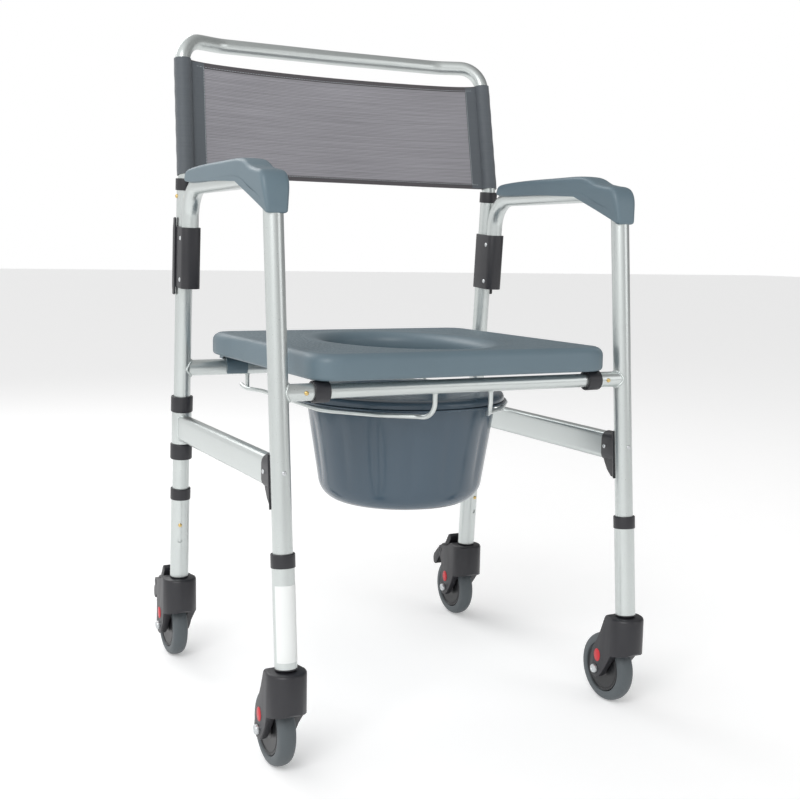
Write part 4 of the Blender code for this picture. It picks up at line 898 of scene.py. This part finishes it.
# ---- casters ---------------------------------------------------------------------------------
def caster_pieces():
    """Hoods with their caps and inlays, tyres, hubs, axle bolts and brake pedals."""
    t = tubes()
    black, steel = black_plastic(), zinc()
    rubber = finish("grey_rubber", colours().tyre, 0.5, grain=900, bump=0.08, vary=0.08)
    nylon = finish("hub_nylon", (0.014, 0.015, 0.017), 0.38, grain=900, bump=0.06, vary=0.2)
    red = finish("red_inlay", colours().inlay, 0.35, grain=600, bump=0.03, vary=0.06)
    for end_name, end in ENDS:
        for name, side in SIDES:
            tag = f"{end_name}_{name}"
            body = "caster_" + tag
            top = 0.1365
            axle = middle("caster_axle_" + tag)
            show("hood_soft_" + tag, refined("caster_hood_" + tag, 0.0012), body, "black_plastic", black,
                 "caster_hood_" + tag)
            pivot = Matrix.Translation((side * t.half_track, t.front_foot if end < 0 else t.rear_foot, 0))
            cap = [(0.0, top + 0.0006), (0.0125, top + 0.0006), (0.0150, top - 0.0002), (0.0, top - 0.0002)]
            show("hood_cap_" + tag, turned("cap", cap, pivot, closed=False), body, "black_plastic", black)
            ovals = []
            for way in (-1, 1):
                at = facing((axle.x + way * 0.0236, axle.y - 0.004, 0.0715), (way, 0, 0))
                shape = [(0.0070 * math.cos(a), 0.0095 * math.sin(a)) for a in [math.pi * i / 16 for i in range(32)]]
                at = at if abs((at.to_3x3() @ Vector((0, 1, 0))).z) > 0.5 else at @ Matrix.Rotation(math.pi / 2, 4, "Z")
                ovals.append(slab("oval", shape, 0.0012, at, 0.0005))
            show("hood_inlays_" + tag, merged("inlays", ovals, 60), body, "black_plastic", red)
            turn = Matrix.Translation(axle) @ Matrix.Rotation(math.pi / 2, 4, "Y")
            radius = axle.z
            tread = [(0.0359, 0.0118), (0.0359, -0.0118), (0.0415, -0.0120), (0.0465, -0.0108), (radius - 0.0006, -0.0062),
                     (radius + 0.0002, 0.0), (radius - 0.0006, 0.0062), (0.0465, 0.0108), (0.0415, 0.0120)]  # fmt: skip
            show("tyre_smooth_" + tag, turned("tyre", tread, turn, 96, 0.003), "wheel_" + tag, "tyre", rubber,
                 "caster_tyre_" + tag)
            face = [(0.0351, 0.0107), (0.0338, 0.0107), (0.0332, 0.0092), (0.0312, 0.0092), (0.0306, 0.0100),
                    (0.0150, 0.0088), (0.0110, 0.0092), (0.0092, 0.0117), (0.0043, 0.0117)]  # fmt: skip
            profile = face + [(r, -z) for r, z in reversed(face)]
            show("hub_smooth_" + tag, turned("hub", profile, turn, 64, 0.0006), "wheel_" + tag, "hub_plastic", nylon,
                 "caster_hub_" + tag)
            head = [(0.0, 0.0272), (0.0030, 0.0272), (0.0036, 0.0280), (0.0058, 0.0278), (0.0065, 0.0262), (0.0065, 0.0238),
                    (0.0040, 0.0238)]  # fmt: skip
            profile = head + [(r, -z) for r, z in reversed(head)]
            show("axle_bolt_" + tag, turned("bolt", profile, turn, 32, closed=False), body, "zinc", steel,
                 "caster_axle_" + tag)
            if end > 0:
                show("pedal_soft_" + tag, refined("brake_pedal_" + tag, 0.0014), "pedal_" + name, "pedal_plastic", black,
                     "brake_pedal_" + tag)


# ---- backrest --------------------------------------------------------------------------------
def back_at(x, z):
    """Point of the raked backrest plane at a given x and height."""
    knee = tubes().post_top + 0.013
    return Vector((x, rear_y(knee) + (z - knee) * math.tan(tubes().back_rake), z))


def back_side_x(z):
    """Distance of the backrest tube's axis from the middle at height z."""
    t = tubes()
    knee = t.post_top + 0.013
    return t.half_track + (0.259 - t.half_track) * (z - knee) / (t.handle_height - knee)


def back_route():
    """Centre line of the backrest tube, from one plug over the handle to the other."""
    t = tubes()
    knee, plug = t.post_top + 0.013, t.post_top - 0.090 * math.cos(t.rear_lean)
    points = [
        (t.half_track, rear_y(plug), plug), back_at(t.half_track, knee), back_at(0.259, t.handle_height),
        (0.190, 0.21325, t.handle_height + 0.0005), (0.0, 0.21575, t.handle_height),
    ]  # fmt: skip
    half = bent(points, (0.02, 0.038, 0.06), 18)
    return half + [Vector((-p.x, p.y, p.z)) for p in reversed(half[:-1])]


def cloth(name, place, columns, rows, thick, uv_size):
    """A sheet with a thickness through place(u, v), and a UV map in metres."""
    bm = bmesh.new()
    layer = bm.loops.layers.uv.new("UVMap")
    where = {}
    grids = []
    for way in (-0.5, 0.5):
        grid = []
        for j in range(rows + 1):
            row = []
            for i in range(columns + 1):
                u, v = i / columns, j / rows
                point, normal = place(u, v)
                vert = bm.verts.new(point + normal * way * thick)
                where[vert] = (u * uv_size[0], v * uv_size[1])
                row.append(vert)
            grid.append(row)
        grids.append(grid)
    near, far = grids
    for grid in grids:
        for j in range(rows):
            for i in range(columns):
                bm.faces.new((grid[j][i], grid[j][i + 1], grid[j + 1][i + 1], grid[j + 1][i]))
    edge = [(0, i) for i in range(columns)] + [(j, columns) for j in range(rows)]
    edge += [(rows, i) for i in range(columns, 0, -1)] + [(j, 0) for j in range(rows, 0, -1)]
    for (a, b), (c, d) in zip(edge, edge[1:] + edge[:1]):
        bm.faces.new((near[a][b], near[c][d], far[c][d], far[a][b]))
    for face in bm.faces:
        for loop in face.loops:
            loop[layer].uv = where[loop.vert]
    return mesh_of(name, bm, 60)


def backrest_pieces():
    """The backrest tube with its sling, sleeves, hems and stitches."""
    t = tubes()
    show("backrest_tube_smooth", pipe("back", back_route(), t.back_r, 0.0011), "backrest", "aluminium_tube",
         aluminium(), "backrest_tube")
    low, high = t.post_top + 0.0105, t.post_top + 0.1835
    normal = Vector((0, math.cos(t.back_rake), -math.sin(t.back_rake)))
    sag = pads().sling_sag

    def top(share):
        return high - 0.010 * max(0.0, 1 - share * share) ** 0.36

    def on_sling(u, v, lift=0.0):
        share = 2 * u - 1
        z = low + (top(share) - low) * v
        x = share * (back_side_x(z) - 0.008)
        ripple = 0.0006 * math.sin(9 * u + 4 * v) * math.sin(math.pi * u)
        bow = sag * (1 - share * share) * (0.7 + 0.3 * math.cos(math.pi * (v - 0.5)))
        return back_at(x, z) + normal * (bow + ripple + lift), normal

    mesh_cloth = woven("sling_mesh", colours().sling, 0.0019, 0.0023, 0.6)
    coated = woven("sleeve_cloth", colours().sleeve, 0.0011, 0.0011, 0.25, roughness=0.5, painted_shade_and_tone=0.10)
    tape = woven("hem_tape", colours().hem, 0.0014, 0.0014, 0.5, painted_shade_and_tone=0.2)
    width, height = 2 * (t.half_track - 0.010), high - low
    sling = show("sling_sheet", cloth("sling", on_sling, 96, 40, 0.0011, (width, height)), "backrest", "sling_cloth",
                 mesh_cloth, "back_sling")
    for name, side in SIDES:
        radius = t.back_r + 0.0012

        def on_sleeve(u, v):
            a = 2 * math.pi * u
            z = low - 0.0004 + (high - low - 0.0012) * v
            out = Vector((math.cos(a), math.sin(a) * math.cos(t.back_rake), -math.sin(a) * math.sin(t.back_rake)))
            crease = 0.0002 * math.sin(38 * v + 2 * a)
            return back_at(side * back_side_x(z), z) + out * (radius + crease), out

        sleeve = skin("sleeve", sleeve_rings(on_sleeve), loop=True)
        uv_by_place(sleeve, low)
        show("sling_sleeve_" + name, sleeve, "backrest", "sling_cloth", coated)

        def on_flap(u, v):
            z = low + (top(0.93) - 0.001 - low) * v
            share = side * (1.0 - 0.105 * u)
            point, out = on_sling((share + 1) / 2, v)
            return Vector((share * (back_side_x(z) - 0.006), point.y, point.z)) - normal * 0.0011, out

        show("sling_flap_" + name, cloth("flap", on_flap, 8, 30, 0.0009, (0.03, height)), "backrest",
                           "sling_cloth", coated)

    def hem(v0, v1):
        def place(u, v):
            return on_sling(0.004 + 0.992 * u, v0 + (v1 - v0) * v)
        return place

    for name, v0, v1 in (("lower", -0.004, 0.045), ("upper", 0.957, 1.006)):
        show(f"sling_hem_{name}", cloth("hem", hem(v0, v1), 96, 4, 0.0026, (width, 0.008)), "backrest",
                           "sling_cloth", tape)
    lines = []
    for v in (0.036, 0.966):
        for way in (-1, 1):
            lines.append([on_sling(0.03 + 0.94 * i / 60, v, way * 0.0014)[0] for i in range(61)])
    for share in (-0.905, 0.905):
        lines.append([on_sling((share + 1) / 2, 0.05 + 0.9 * i / 40, -0.0017)[0] for i in range(41)])
    thread = finish("thread", colours().thread, 0.7, grain=2000, bump=0.1)
    stitches = grown("stitches", line_mesh(*lines), stitch_tree(), pitch=pads().stitch, radius=0.00032, material=thread)
    show("sling_stitches", stitches, "backrest", "sling_cloth", thread)


def sleeve_rings(place, around=36, rows=40, thick=0.0011):
    """Rings of a cloth sleeve: up its outside and down its inside."""
    rings = []
    for way, order in ((0.5, range(rows + 1)), (-0.5, range(rows, -1, -1))):
        for j in order:
            ring = []
            for i in range(around):
                point, out = place(i / around, j / rows)
                ring.append(point + out * way * thick)
            rings.append(ring)
    return rings


def uv_by_place(mesh, low):
    """A UV map in metres from X and height, for cloth that runs upwards."""
    layer = mesh.uv_layers.new(name="UVMap")
    for loop in mesh.loops:
        place = mesh.vertices[loop.vertex_index].co
        layer.data[loop.index].uv = (place.x + place.y, place.z - low)


# ---- pads ------------------------------------------------------------------------------------
def arm_outline():
    """Side view of an arm pad, anticlockwise from +X, and how much each point is rounded in."""
    t = tubes()
    arm, r = t.arm_height, t.frame_r
    top, foot, cover = arm + r + 0.0130, arm - 0.046, r + 0.0032
    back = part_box("arm_pad_left")[1].y - 0.0005
    leg, low_leg, knob = front_y(arm), front_y(foot), arm + 0.0085
    hump = leg + 0.073
    points = [
        (back, arm + 0.001, 0.6), (back + 0.0005, arm + 0.010, 1.0), (back - 0.004, top - 0.007, 1.0),
        (back - 0.011, top - 0.0025, 1.0), (hump + 0.150, top, 1.0), (hump + 0.100, top, 1.0), (hump + 0.050, top, 1.0),
        (hump, top + 0.0005, 1.0), (hump - 0.020, top - 0.0035, 1.0), (hump - 0.036, top - 0.0125, 1.0),
        (hump - 0.050, knob + 0.0028, 1.0), (hump - 0.060, knob + 0.0005, 1.0), (hump - 0.071, knob, 1.0),
        (hump - 0.082, knob - 0.0045, 1.0), (leg - cover - 0.0005, arm - 0.010, 1.0),
        (leg - cover - 0.0022, arm - 0.027, 0.9), (low_leg - cover, foot + 0.003, 0.5),
        (low_leg - cover + 0.003, foot, 0.4), (low_leg - r + 0.007, foot, 0.4), (leg - r + 0.0065, arm - 0.040, 0.4),
        (leg - 0.0036, arm - 0.029, 0.5), (leg + 0.014, arm - 0.023, 0.5), (leg + 0.040, arm - 0.0145, 0.5),
        (hump - 0.018, arm - 0.006, 0.5), (hump + 0.008, arm + 0.001, 0.5), (hump + 0.060, arm + 0.001, 0.5),
        (hump + 0.120, arm + 0.001, 0.5),
    ]  # fmt: skip
    return [Vector((y, z)) for y, z, _ in points], [amount for _, _, amount in points]


def arm_pads():
    """The moulded pads that cap the arm tubes and roll down over their front bends."""
    t = tubes()
    outline, share = arm_outline()
    count = len(outline)
    inward = []
    for i in range(count):
        first, second = (outline[i] - outline[i - 1]).normalized(), (outline[(i + 1) % count] - outline[i]).normalized()
        inward.append(Vector((-first.y - second.y, first.x + second.x)).normalized())
    layers = ((-1.0, 1.0), (-0.985, 0.62), (-0.90, 0.22), (-0.72, 0.02), (-0.4, 0.0), (0.0, -0.04))
    layers += tuple((-a, b) for a, b in reversed(layers[:-1]))
    for name, side in SIDES:
        rings = []
        for across, depth in layers:
            ring = []
            for point, way, amount in zip(outline, inward, share):
                y, z = point + way * 0.0072 * depth * amount
                narrow = 1.0 - 0.26 * min(max((t.arm_height - 0.012 - z) / 0.034, 0.0), 1.0)
                ring.append((side * t.half_track + across * pads().arm_half * 1.015 * narrow, y, z))
            rings.append(ring)
        pad = rounded_up(skin("arm_pad", rings), 2)
        piece = show("arm_pad_moulded_" + name, pad, "side_" + name, "pad", pad_foam(), "arm_pad_" + name)


def seat_rings():
    """Rings of the seat pad, from its underside out over the edge and into the opening."""
    p = pads()
    low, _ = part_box("seat_pad")
    z0 = tubes().bar_height + 0.0145
    back = rear_y(tubes().cross_height) + 0.0014
    centre_y, depth = (low.y + back) / 2, (back - low.y) / 2
    hole_y, hole_x, hole_d = -0.05325, 0.108, 0.152
    count = 120
    soft, thick = 0.012, p.seat_thick

    def outer(a, shrink):
        half_x, half_y, r = p.seat_half - shrink, depth - shrink, max(p.seat_corner - shrink, 0.004)
        dx, dy = math.cos(a), math.sin(a)
        cx, cy = half_x - r, half_y - r
        reach = min(half_x / max(abs(dx), 1e-9), half_y / max(abs(dy), 1e-9))
        x, y = dx * reach, dy * reach
        if abs(x) > cx and abs(y) > cy:
            qx, qy = math.copysign(cx, dx), math.copysign(cy, dy)
            b = dx * qx + dy * qy
            c = qx * qx + qy * qy - r * r
            reach = b + math.sqrt(max(b * b - c, 0.0))
            x, y = dx * reach, dy * reach
        return Vector((x, centre_y + y))

    def inner(a, grow):
        return Vector(((hole_x + grow) * math.cos(a), hole_y + (hole_d + grow) * math.sin(a)))

    rings, mask = [], []
    spin = [2 * math.pi * (i + 0.5) / count for i in range(count)]
    base = math.pi / 2
    for k in range(5):
        b = -base + base * k / 4
        rings.append([(*outer(a, soft * 0.5 * (1 - math.cos(b))), z0 + soft * 0.5 * (1 + math.sin(b))) for a in spin])
        mask.append(0.0)
    for k in range(7):
        b = base * k / 6
        rings.append([(*outer(a, soft * (1 - math.cos(b))), z0 + thick - soft * (1 - math.sin(b))) for a in spin])
        mask.append(0.0)
    rim = 0.022
    for share, on in ((0.06, 0.0), (0.09, 1.0), (0.3, 1.0), (0.6, 1.0), (0.88, 1.0), (0.94, 0.0), (1.0, 0.0)):
        row = []
        for a in spin:
            here = outer(a, soft) * (1 - share) + inner(a, rim) * share
            row.append((*here, z0 + thick + 0.0004 * math.sin(math.pi * share)))
        rings.append(row)
        mask.append(on)
    for k in range(1, 8):
        b = base * k / 7
        rings.append([(*inner(a, rim * (1 - math.sin(b))), z0 + thick - 0.015 * (1 - math.cos(b))) for a in spin])
        mask.append(0.0)
    rings.append([(*inner(a, 0.0), z0 + 0.003) for a in spin])
    rings.append([(*inner(a, 0.003), z0) for a in spin])
    mask += [0.0, 0.0]
    return rings, mask


def seat_pieces():
    """The seat pad with its pebbled top, its clips and the blank sticker in its opening."""
    t = tubes()
    rings, mask = seat_rings()
    count = len(rings[0])
    mesh = skin("seat", rings, loop=True, sharp=60)
    pebble = mesh.attributes.new("pebble", "FLOAT", "POINT")
    values = [value for value in mask for _ in range(count)]
    for item, value in zip(pebble.data, values):
        item.value = value
    seat = show("seat_moulded", mesh, "seat", "pad", pad_foam(True), "seat_pad")
    cross_y = rear_y(t.cross_height)
    clips = []
    clip_x = pads().pan_r + 0.041
    for _, side in SIDES:
        arc = [math.radians(a) for a in range(-38, 219, 8)]
        r0, r1 = t.frame_r + 0.0003, t.frame_r + 0.0033
        shape = [(r1 * math.cos(a), r1 * math.sin(a)) for a in arc] + [(r0 * math.cos(a), r0 * math.sin(a)) for a in reversed(arc)]
        hoop = []
        for x in (clip_x - 0.0165, clip_x - 0.0158, clip_x + 0.0158, clip_x + 0.0165):
            hoop.append([(side * x, cross_y + u, t.cross_height + v) for u, v in shape])
        clips.append(skin("clip", hoop, sharp=40))
        web = [(cross_y - 0.006, t.cross_height + 0.012), (cross_y + 0.024, t.cross_height + 0.012),
               (cross_y + 0.024, 0.4955), (cross_y - 0.012, 0.4955)]  # fmt: skip
        ends = [[(side * x, y, z) for y, z in web] for x in (clip_x - 0.0165, clip_x + 0.0165)]
        clips.append(skin("web", ends))
    show("seat_clips", merged("clips", clips), "seat", "pad", pad_foam())
    blank = finish("blank_sticker", (0.80, 0.81, 0.80), 0.4, grain=400, bump=0.02, vary=0.02)
    hole_y = -0.05325
    place = facing((-0.030, hole_y + 0.1490, 0.5155), (0.25, -0.93, 0.30))
    show("seat_sticker", slab("sticker", softened([(-0.016, -0.0045), (0.016, -0.0045), (0.016, 0.0045), (-0.016, 0.0045)], 0.001),
                              0.0006, place, 0.0002), "seat", "pad", blank)


# ---- pan -------------------------------------------------------------------------------------
def pan_pieces():
    """The fluted pan and its lid."""
    p, t = pads(), tubes()
    centre = middle("pan")
    at = Matrix.Translation((0, centre.y, 0))
    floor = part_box("pan")[0].z
    rail_z = t.bar_height - 0.043
    rim_z = rail_z + t.rail_r + 0.0003
    foot, corner, wall = p.pan_r - 0.020, 0.033, 0.003
    lean = math.atan2(p.pan_r - foot, rail_z - floor)
    inner_r = foot - corner + 0.002
    outer = [(0.0, floor), (inner_r * 0.5, floor), (inner_r, floor)]
    for i in range(1, 13):
        a = -math.pi / 2 + (math.pi / 2 - lean) * i / 12
        outer.append((inner_r + corner * math.cos(a), floor + corner * (1 + math.sin(a))))
    side_r, side_z = outer[-1]
    outer += [(side_r + (p.pan_r - side_r) * k / 8, side_z + (rim_z - 0.001 - side_z) * k / 8) for k in range(1, 9)]
    rim = p.pan_r + 0.016
    outer += [(rim - 0.002, rim_z), (rim - 0.0004, rim_z + 0.0006), (rim, rim_z + 0.0015), (rim - 0.0004, rim_z + 0.0026),
              (rim - 0.002, rim_z + wall), (p.pan_r - wall, rim_z + wall)]  # fmt: skip
    inside = [(r - wall, z + wall * 0.5) for r, z in reversed(outer[3:23])]
    profile = outer + inside + [(inner_r, floor + wall), (0.0, floor + wall)]

    def flutes(a, z):
        height = min(max((z - floor - 0.02) / 0.03, 0.0), 1.0) * min(max((rim_z - 0.012 - z) / 0.02, 0.0), 1.0)
        wave = abs(math.sin(a * 7 + 0.6 + 0.5 * math.sin(3 * a)))
        return 1 - p.crease / p.pan_r * height * (1 - wave) ** 1.5

    plastic = finish("pan_plastic", colours().pan, 0.17, grain=260, bump=0.02, vary=0.10, coat=0.5)
    show("pan_fluted", turned("pan", profile, at, 192, closed=False, shape=flutes), "pan", "pan_plastic", plastic, "pan")
    base = rim_z + wall + 0.0003
    r = rim - 0.0035
    lid = [(0.0, base + 0.0098), (0.105, base + 0.0098), (0.112, base + 0.0112), (r - 0.010, base + 0.0112),
           (r - 0.003, base + 0.0098), (r - 0.0006, base + 0.006), (r, base), (r - 0.0028, base),
           (r - 0.0052, base + 0.0062), (0.112, base + 0.0084), (0.105, base + 0.0070), (0.0, base + 0.0070)]  # fmt: skip
    show("pan_lid_smooth", turned("lid", lid, at, 128, 0.002, closed=False), "pan_lid", "pan_plastic", plastic, "pan_lid")


# ---- stage -----------------------------------------------------------------------------------
def studio_light(tree):
    """A white backdrop whose light is bright from the left and above, and dim from the right."""
    nodes, links = tree.nodes, tree.links
    place = nodes.new("ShaderNodeTexCoord")
    split = nodes.new("ShaderNodeSeparateXYZ")
    links.new(place.outputs["Generated"], split.inputs[0])
    side = nodes.new("ShaderNodeMapRange")
    for key, value in (("From Min", -0.75), ("From Max", 0.8), ("To Min", 1.02), ("To Max", 0.26)):
        side.inputs[key].default_value = value
    side.interpolation_type = "SMOOTHSTEP"
    links.new(split.outputs["X"], side.inputs["Value"])
    path = nodes.new("ShaderNodeLightPath")
    level = nodes.new("ShaderNodeMix")
    level.inputs["B"].default_value = 1.0
    links.new(path.outputs["Is Camera Ray"], level.inputs["Factor"])
    links.new(side.outputs[0], level.inputs["A"])
    back = nodes["Background"]
    back.inputs["Color"].default_value = (1.0, 1.0, 1.0, 1)
    links.new(level.outputs["Result"], back.inputs["Strength"])


def stage():
    """Floor, soft studio light and camera."""
    scene = bpy.context.scene
    floor = bpy.data.meshes.new("floor")
    floor.from_pydata([(-30, -30, 0), (30, -30, 0), (30, 30, 0), (-30, 30, 0)], [], [(0, 1, 2, 3)])
    ground = bpy.data.objects.new("floor", floor)
    scene.collection.objects.link(ground)
    pale = finish("pale_floor", (0.90, 0.90, 0.90), 0.8, grain=20, bump=0.0, vary=0.005)
    glow = pale.node_tree.nodes["Principled BSDF"]
    glow.inputs["Emission Color"].default_value = (1.0, 1.0, 1.0, 1)
    glow.inputs["Emission Strength"].default_value = 0.24
    floor.materials.append(pale)
    world = bpy.data.worlds.new("studio")
    world.use_nodes = True
    studio_light(world.node_tree)
    scene.world = world
    scene.view_settings.view_transform = "Standard"
    for name, place, aim, size, power in (
        ("key", (-1.9, -1.9, 2.4), (0, 0, 0.5), 1.4, 38),
        ("fill", (2.0, -2.4, 1.4), (0, 0, 0.5), 1.6, 10),
        ("back", (-0.6, 2.4, 2.4), (0, 0, 0.6), 1.6, 24),
    ):
        lamp = bpy.data.lights.new(name, "AREA")
        lamp.energy, lamp.size = power, size
        obj = bpy.data.objects.new(name, lamp)
        scene.collection.objects.link(obj)
        obj.matrix_world = facing(place, Vector(place) - Vector(aim))
    azimuth, down, roll = math.radians(-27.44), math.radians(7.332), math.radians(1.064)
    ahead = Vector((-math.sin(azimuth) * math.cos(down), math.cos(azimuth) * math.cos(down), -math.sin(down)))
    right = ahead.cross(Vector((0, 0, 1))).normalized()
    up = right.cross(ahead)
    across = right * math.cos(roll) + up * math.sin(roll)
    above = up * math.cos(roll) - right * math.sin(roll)
    lens = bpy.data.cameras.new("camera")
    lens.sensor_width, lens.lens = 36.0, 52.344
    camera = bpy.data.objects.new("camera", lens)
    scene.collection.objects.link(camera)
    turn = Matrix((across, above, -ahead)).transposed().to_4x4()
    camera.matrix_world = Matrix.Translation((-0.7852, -1.55735, 0.6572)) @ turn
    scene.camera = camera


# ---- operators -------------------------------------------------------------------------------
def operator(key, label, text, work):
    """An Operator class that runs one builder."""

    def execute(self, context):
        work()
        return {"FINISHED"}

    name = "COMMODE_OT_" + key
    return type(name, (bpy.types.Operator,), {
        "bl_idname": "commode." + key, "bl_label": label, "__doc__": text, "execute": execute,
    })  # fmt: skip


STEPS = (
    ("posts", "Rear posts", "Makes the rear posts and the cross tube", post_piece),
    ("sides", "Side frames", "Makes the bent side tubes and the braces", side_pieces),
    ("bar", "Front bar", "Makes the front bar and the pan rails", bar_piece),
    ("legs", "Lower legs", "Makes the lower legs, their plugs and the label", leg_pieces),
    ("collars", "Collars", "Makes every collar", collar_pieces),
    ("brackets", "Brackets", "Makes the arm brackets and the brace saddles", bracket_pieces),
    ("buttons", "Buttons", "Makes the snap buttons", button_pieces),
    ("casters", "Casters", "Makes the casters and the brake pedals", caster_pieces),
    ("backrest", "Backrest", "Makes the backrest tube and the sling", backrest_pieces),
    ("arm_pads", "Arm pads", "Makes the arm pads", arm_pads),
    ("seat", "Seat", "Makes the seat pad", seat_pieces),
    ("pan", "Pan", "Makes the pan and its lid", pan_pieces),
    ("stage", "Stage", "Makes the floor, the light and the camera", stage),
)
OPERATORS = [operator(*step) for step in STEPS]


class COMMODE_PT_panel(bpy.types.Panel):
    """Sizes, colours and steps of the commode chair."""

    bl_label = "Commode Chair"
    bl_space_type = "VIEW_3D"
    bl_region_type = "UI"
    bl_category = "Commode"

    def draw(self, context):
        for group in (tubes(), pads(), colours()):
            box = self.layout.box()
            for key in group.__annotations__:
                box.prop(group, key)
        for key, *_ in STEPS:
            self.layout.operator("commode." + key)


CLASSES = [CommodeTubes, CommodePads, CommodeColours, *OPERATORS, COMMODE_PT_panel]
GROUPS = (("commode_tubes", CommodeTubes), ("commode_pads", CommodePads), ("commode_colours", CommodeColours))


def register():
    for cls in CLASSES:
        bpy.utils.register_class(cls)
    for name, cls in GROUPS:
        setattr(bpy.types.Scene, name, PointerProperty(type=cls))


def unregister():
    for name, _ in GROUPS:
        delattr(bpy.types.Scene, name)
    for cls in reversed(CLASSES):
        bpy.utils.unregister_class(cls)


def main():
    register()
    for key, *_ in STEPS:
        getattr(bpy.ops.commode, key)()


if __name__ == "__main__":
    main()
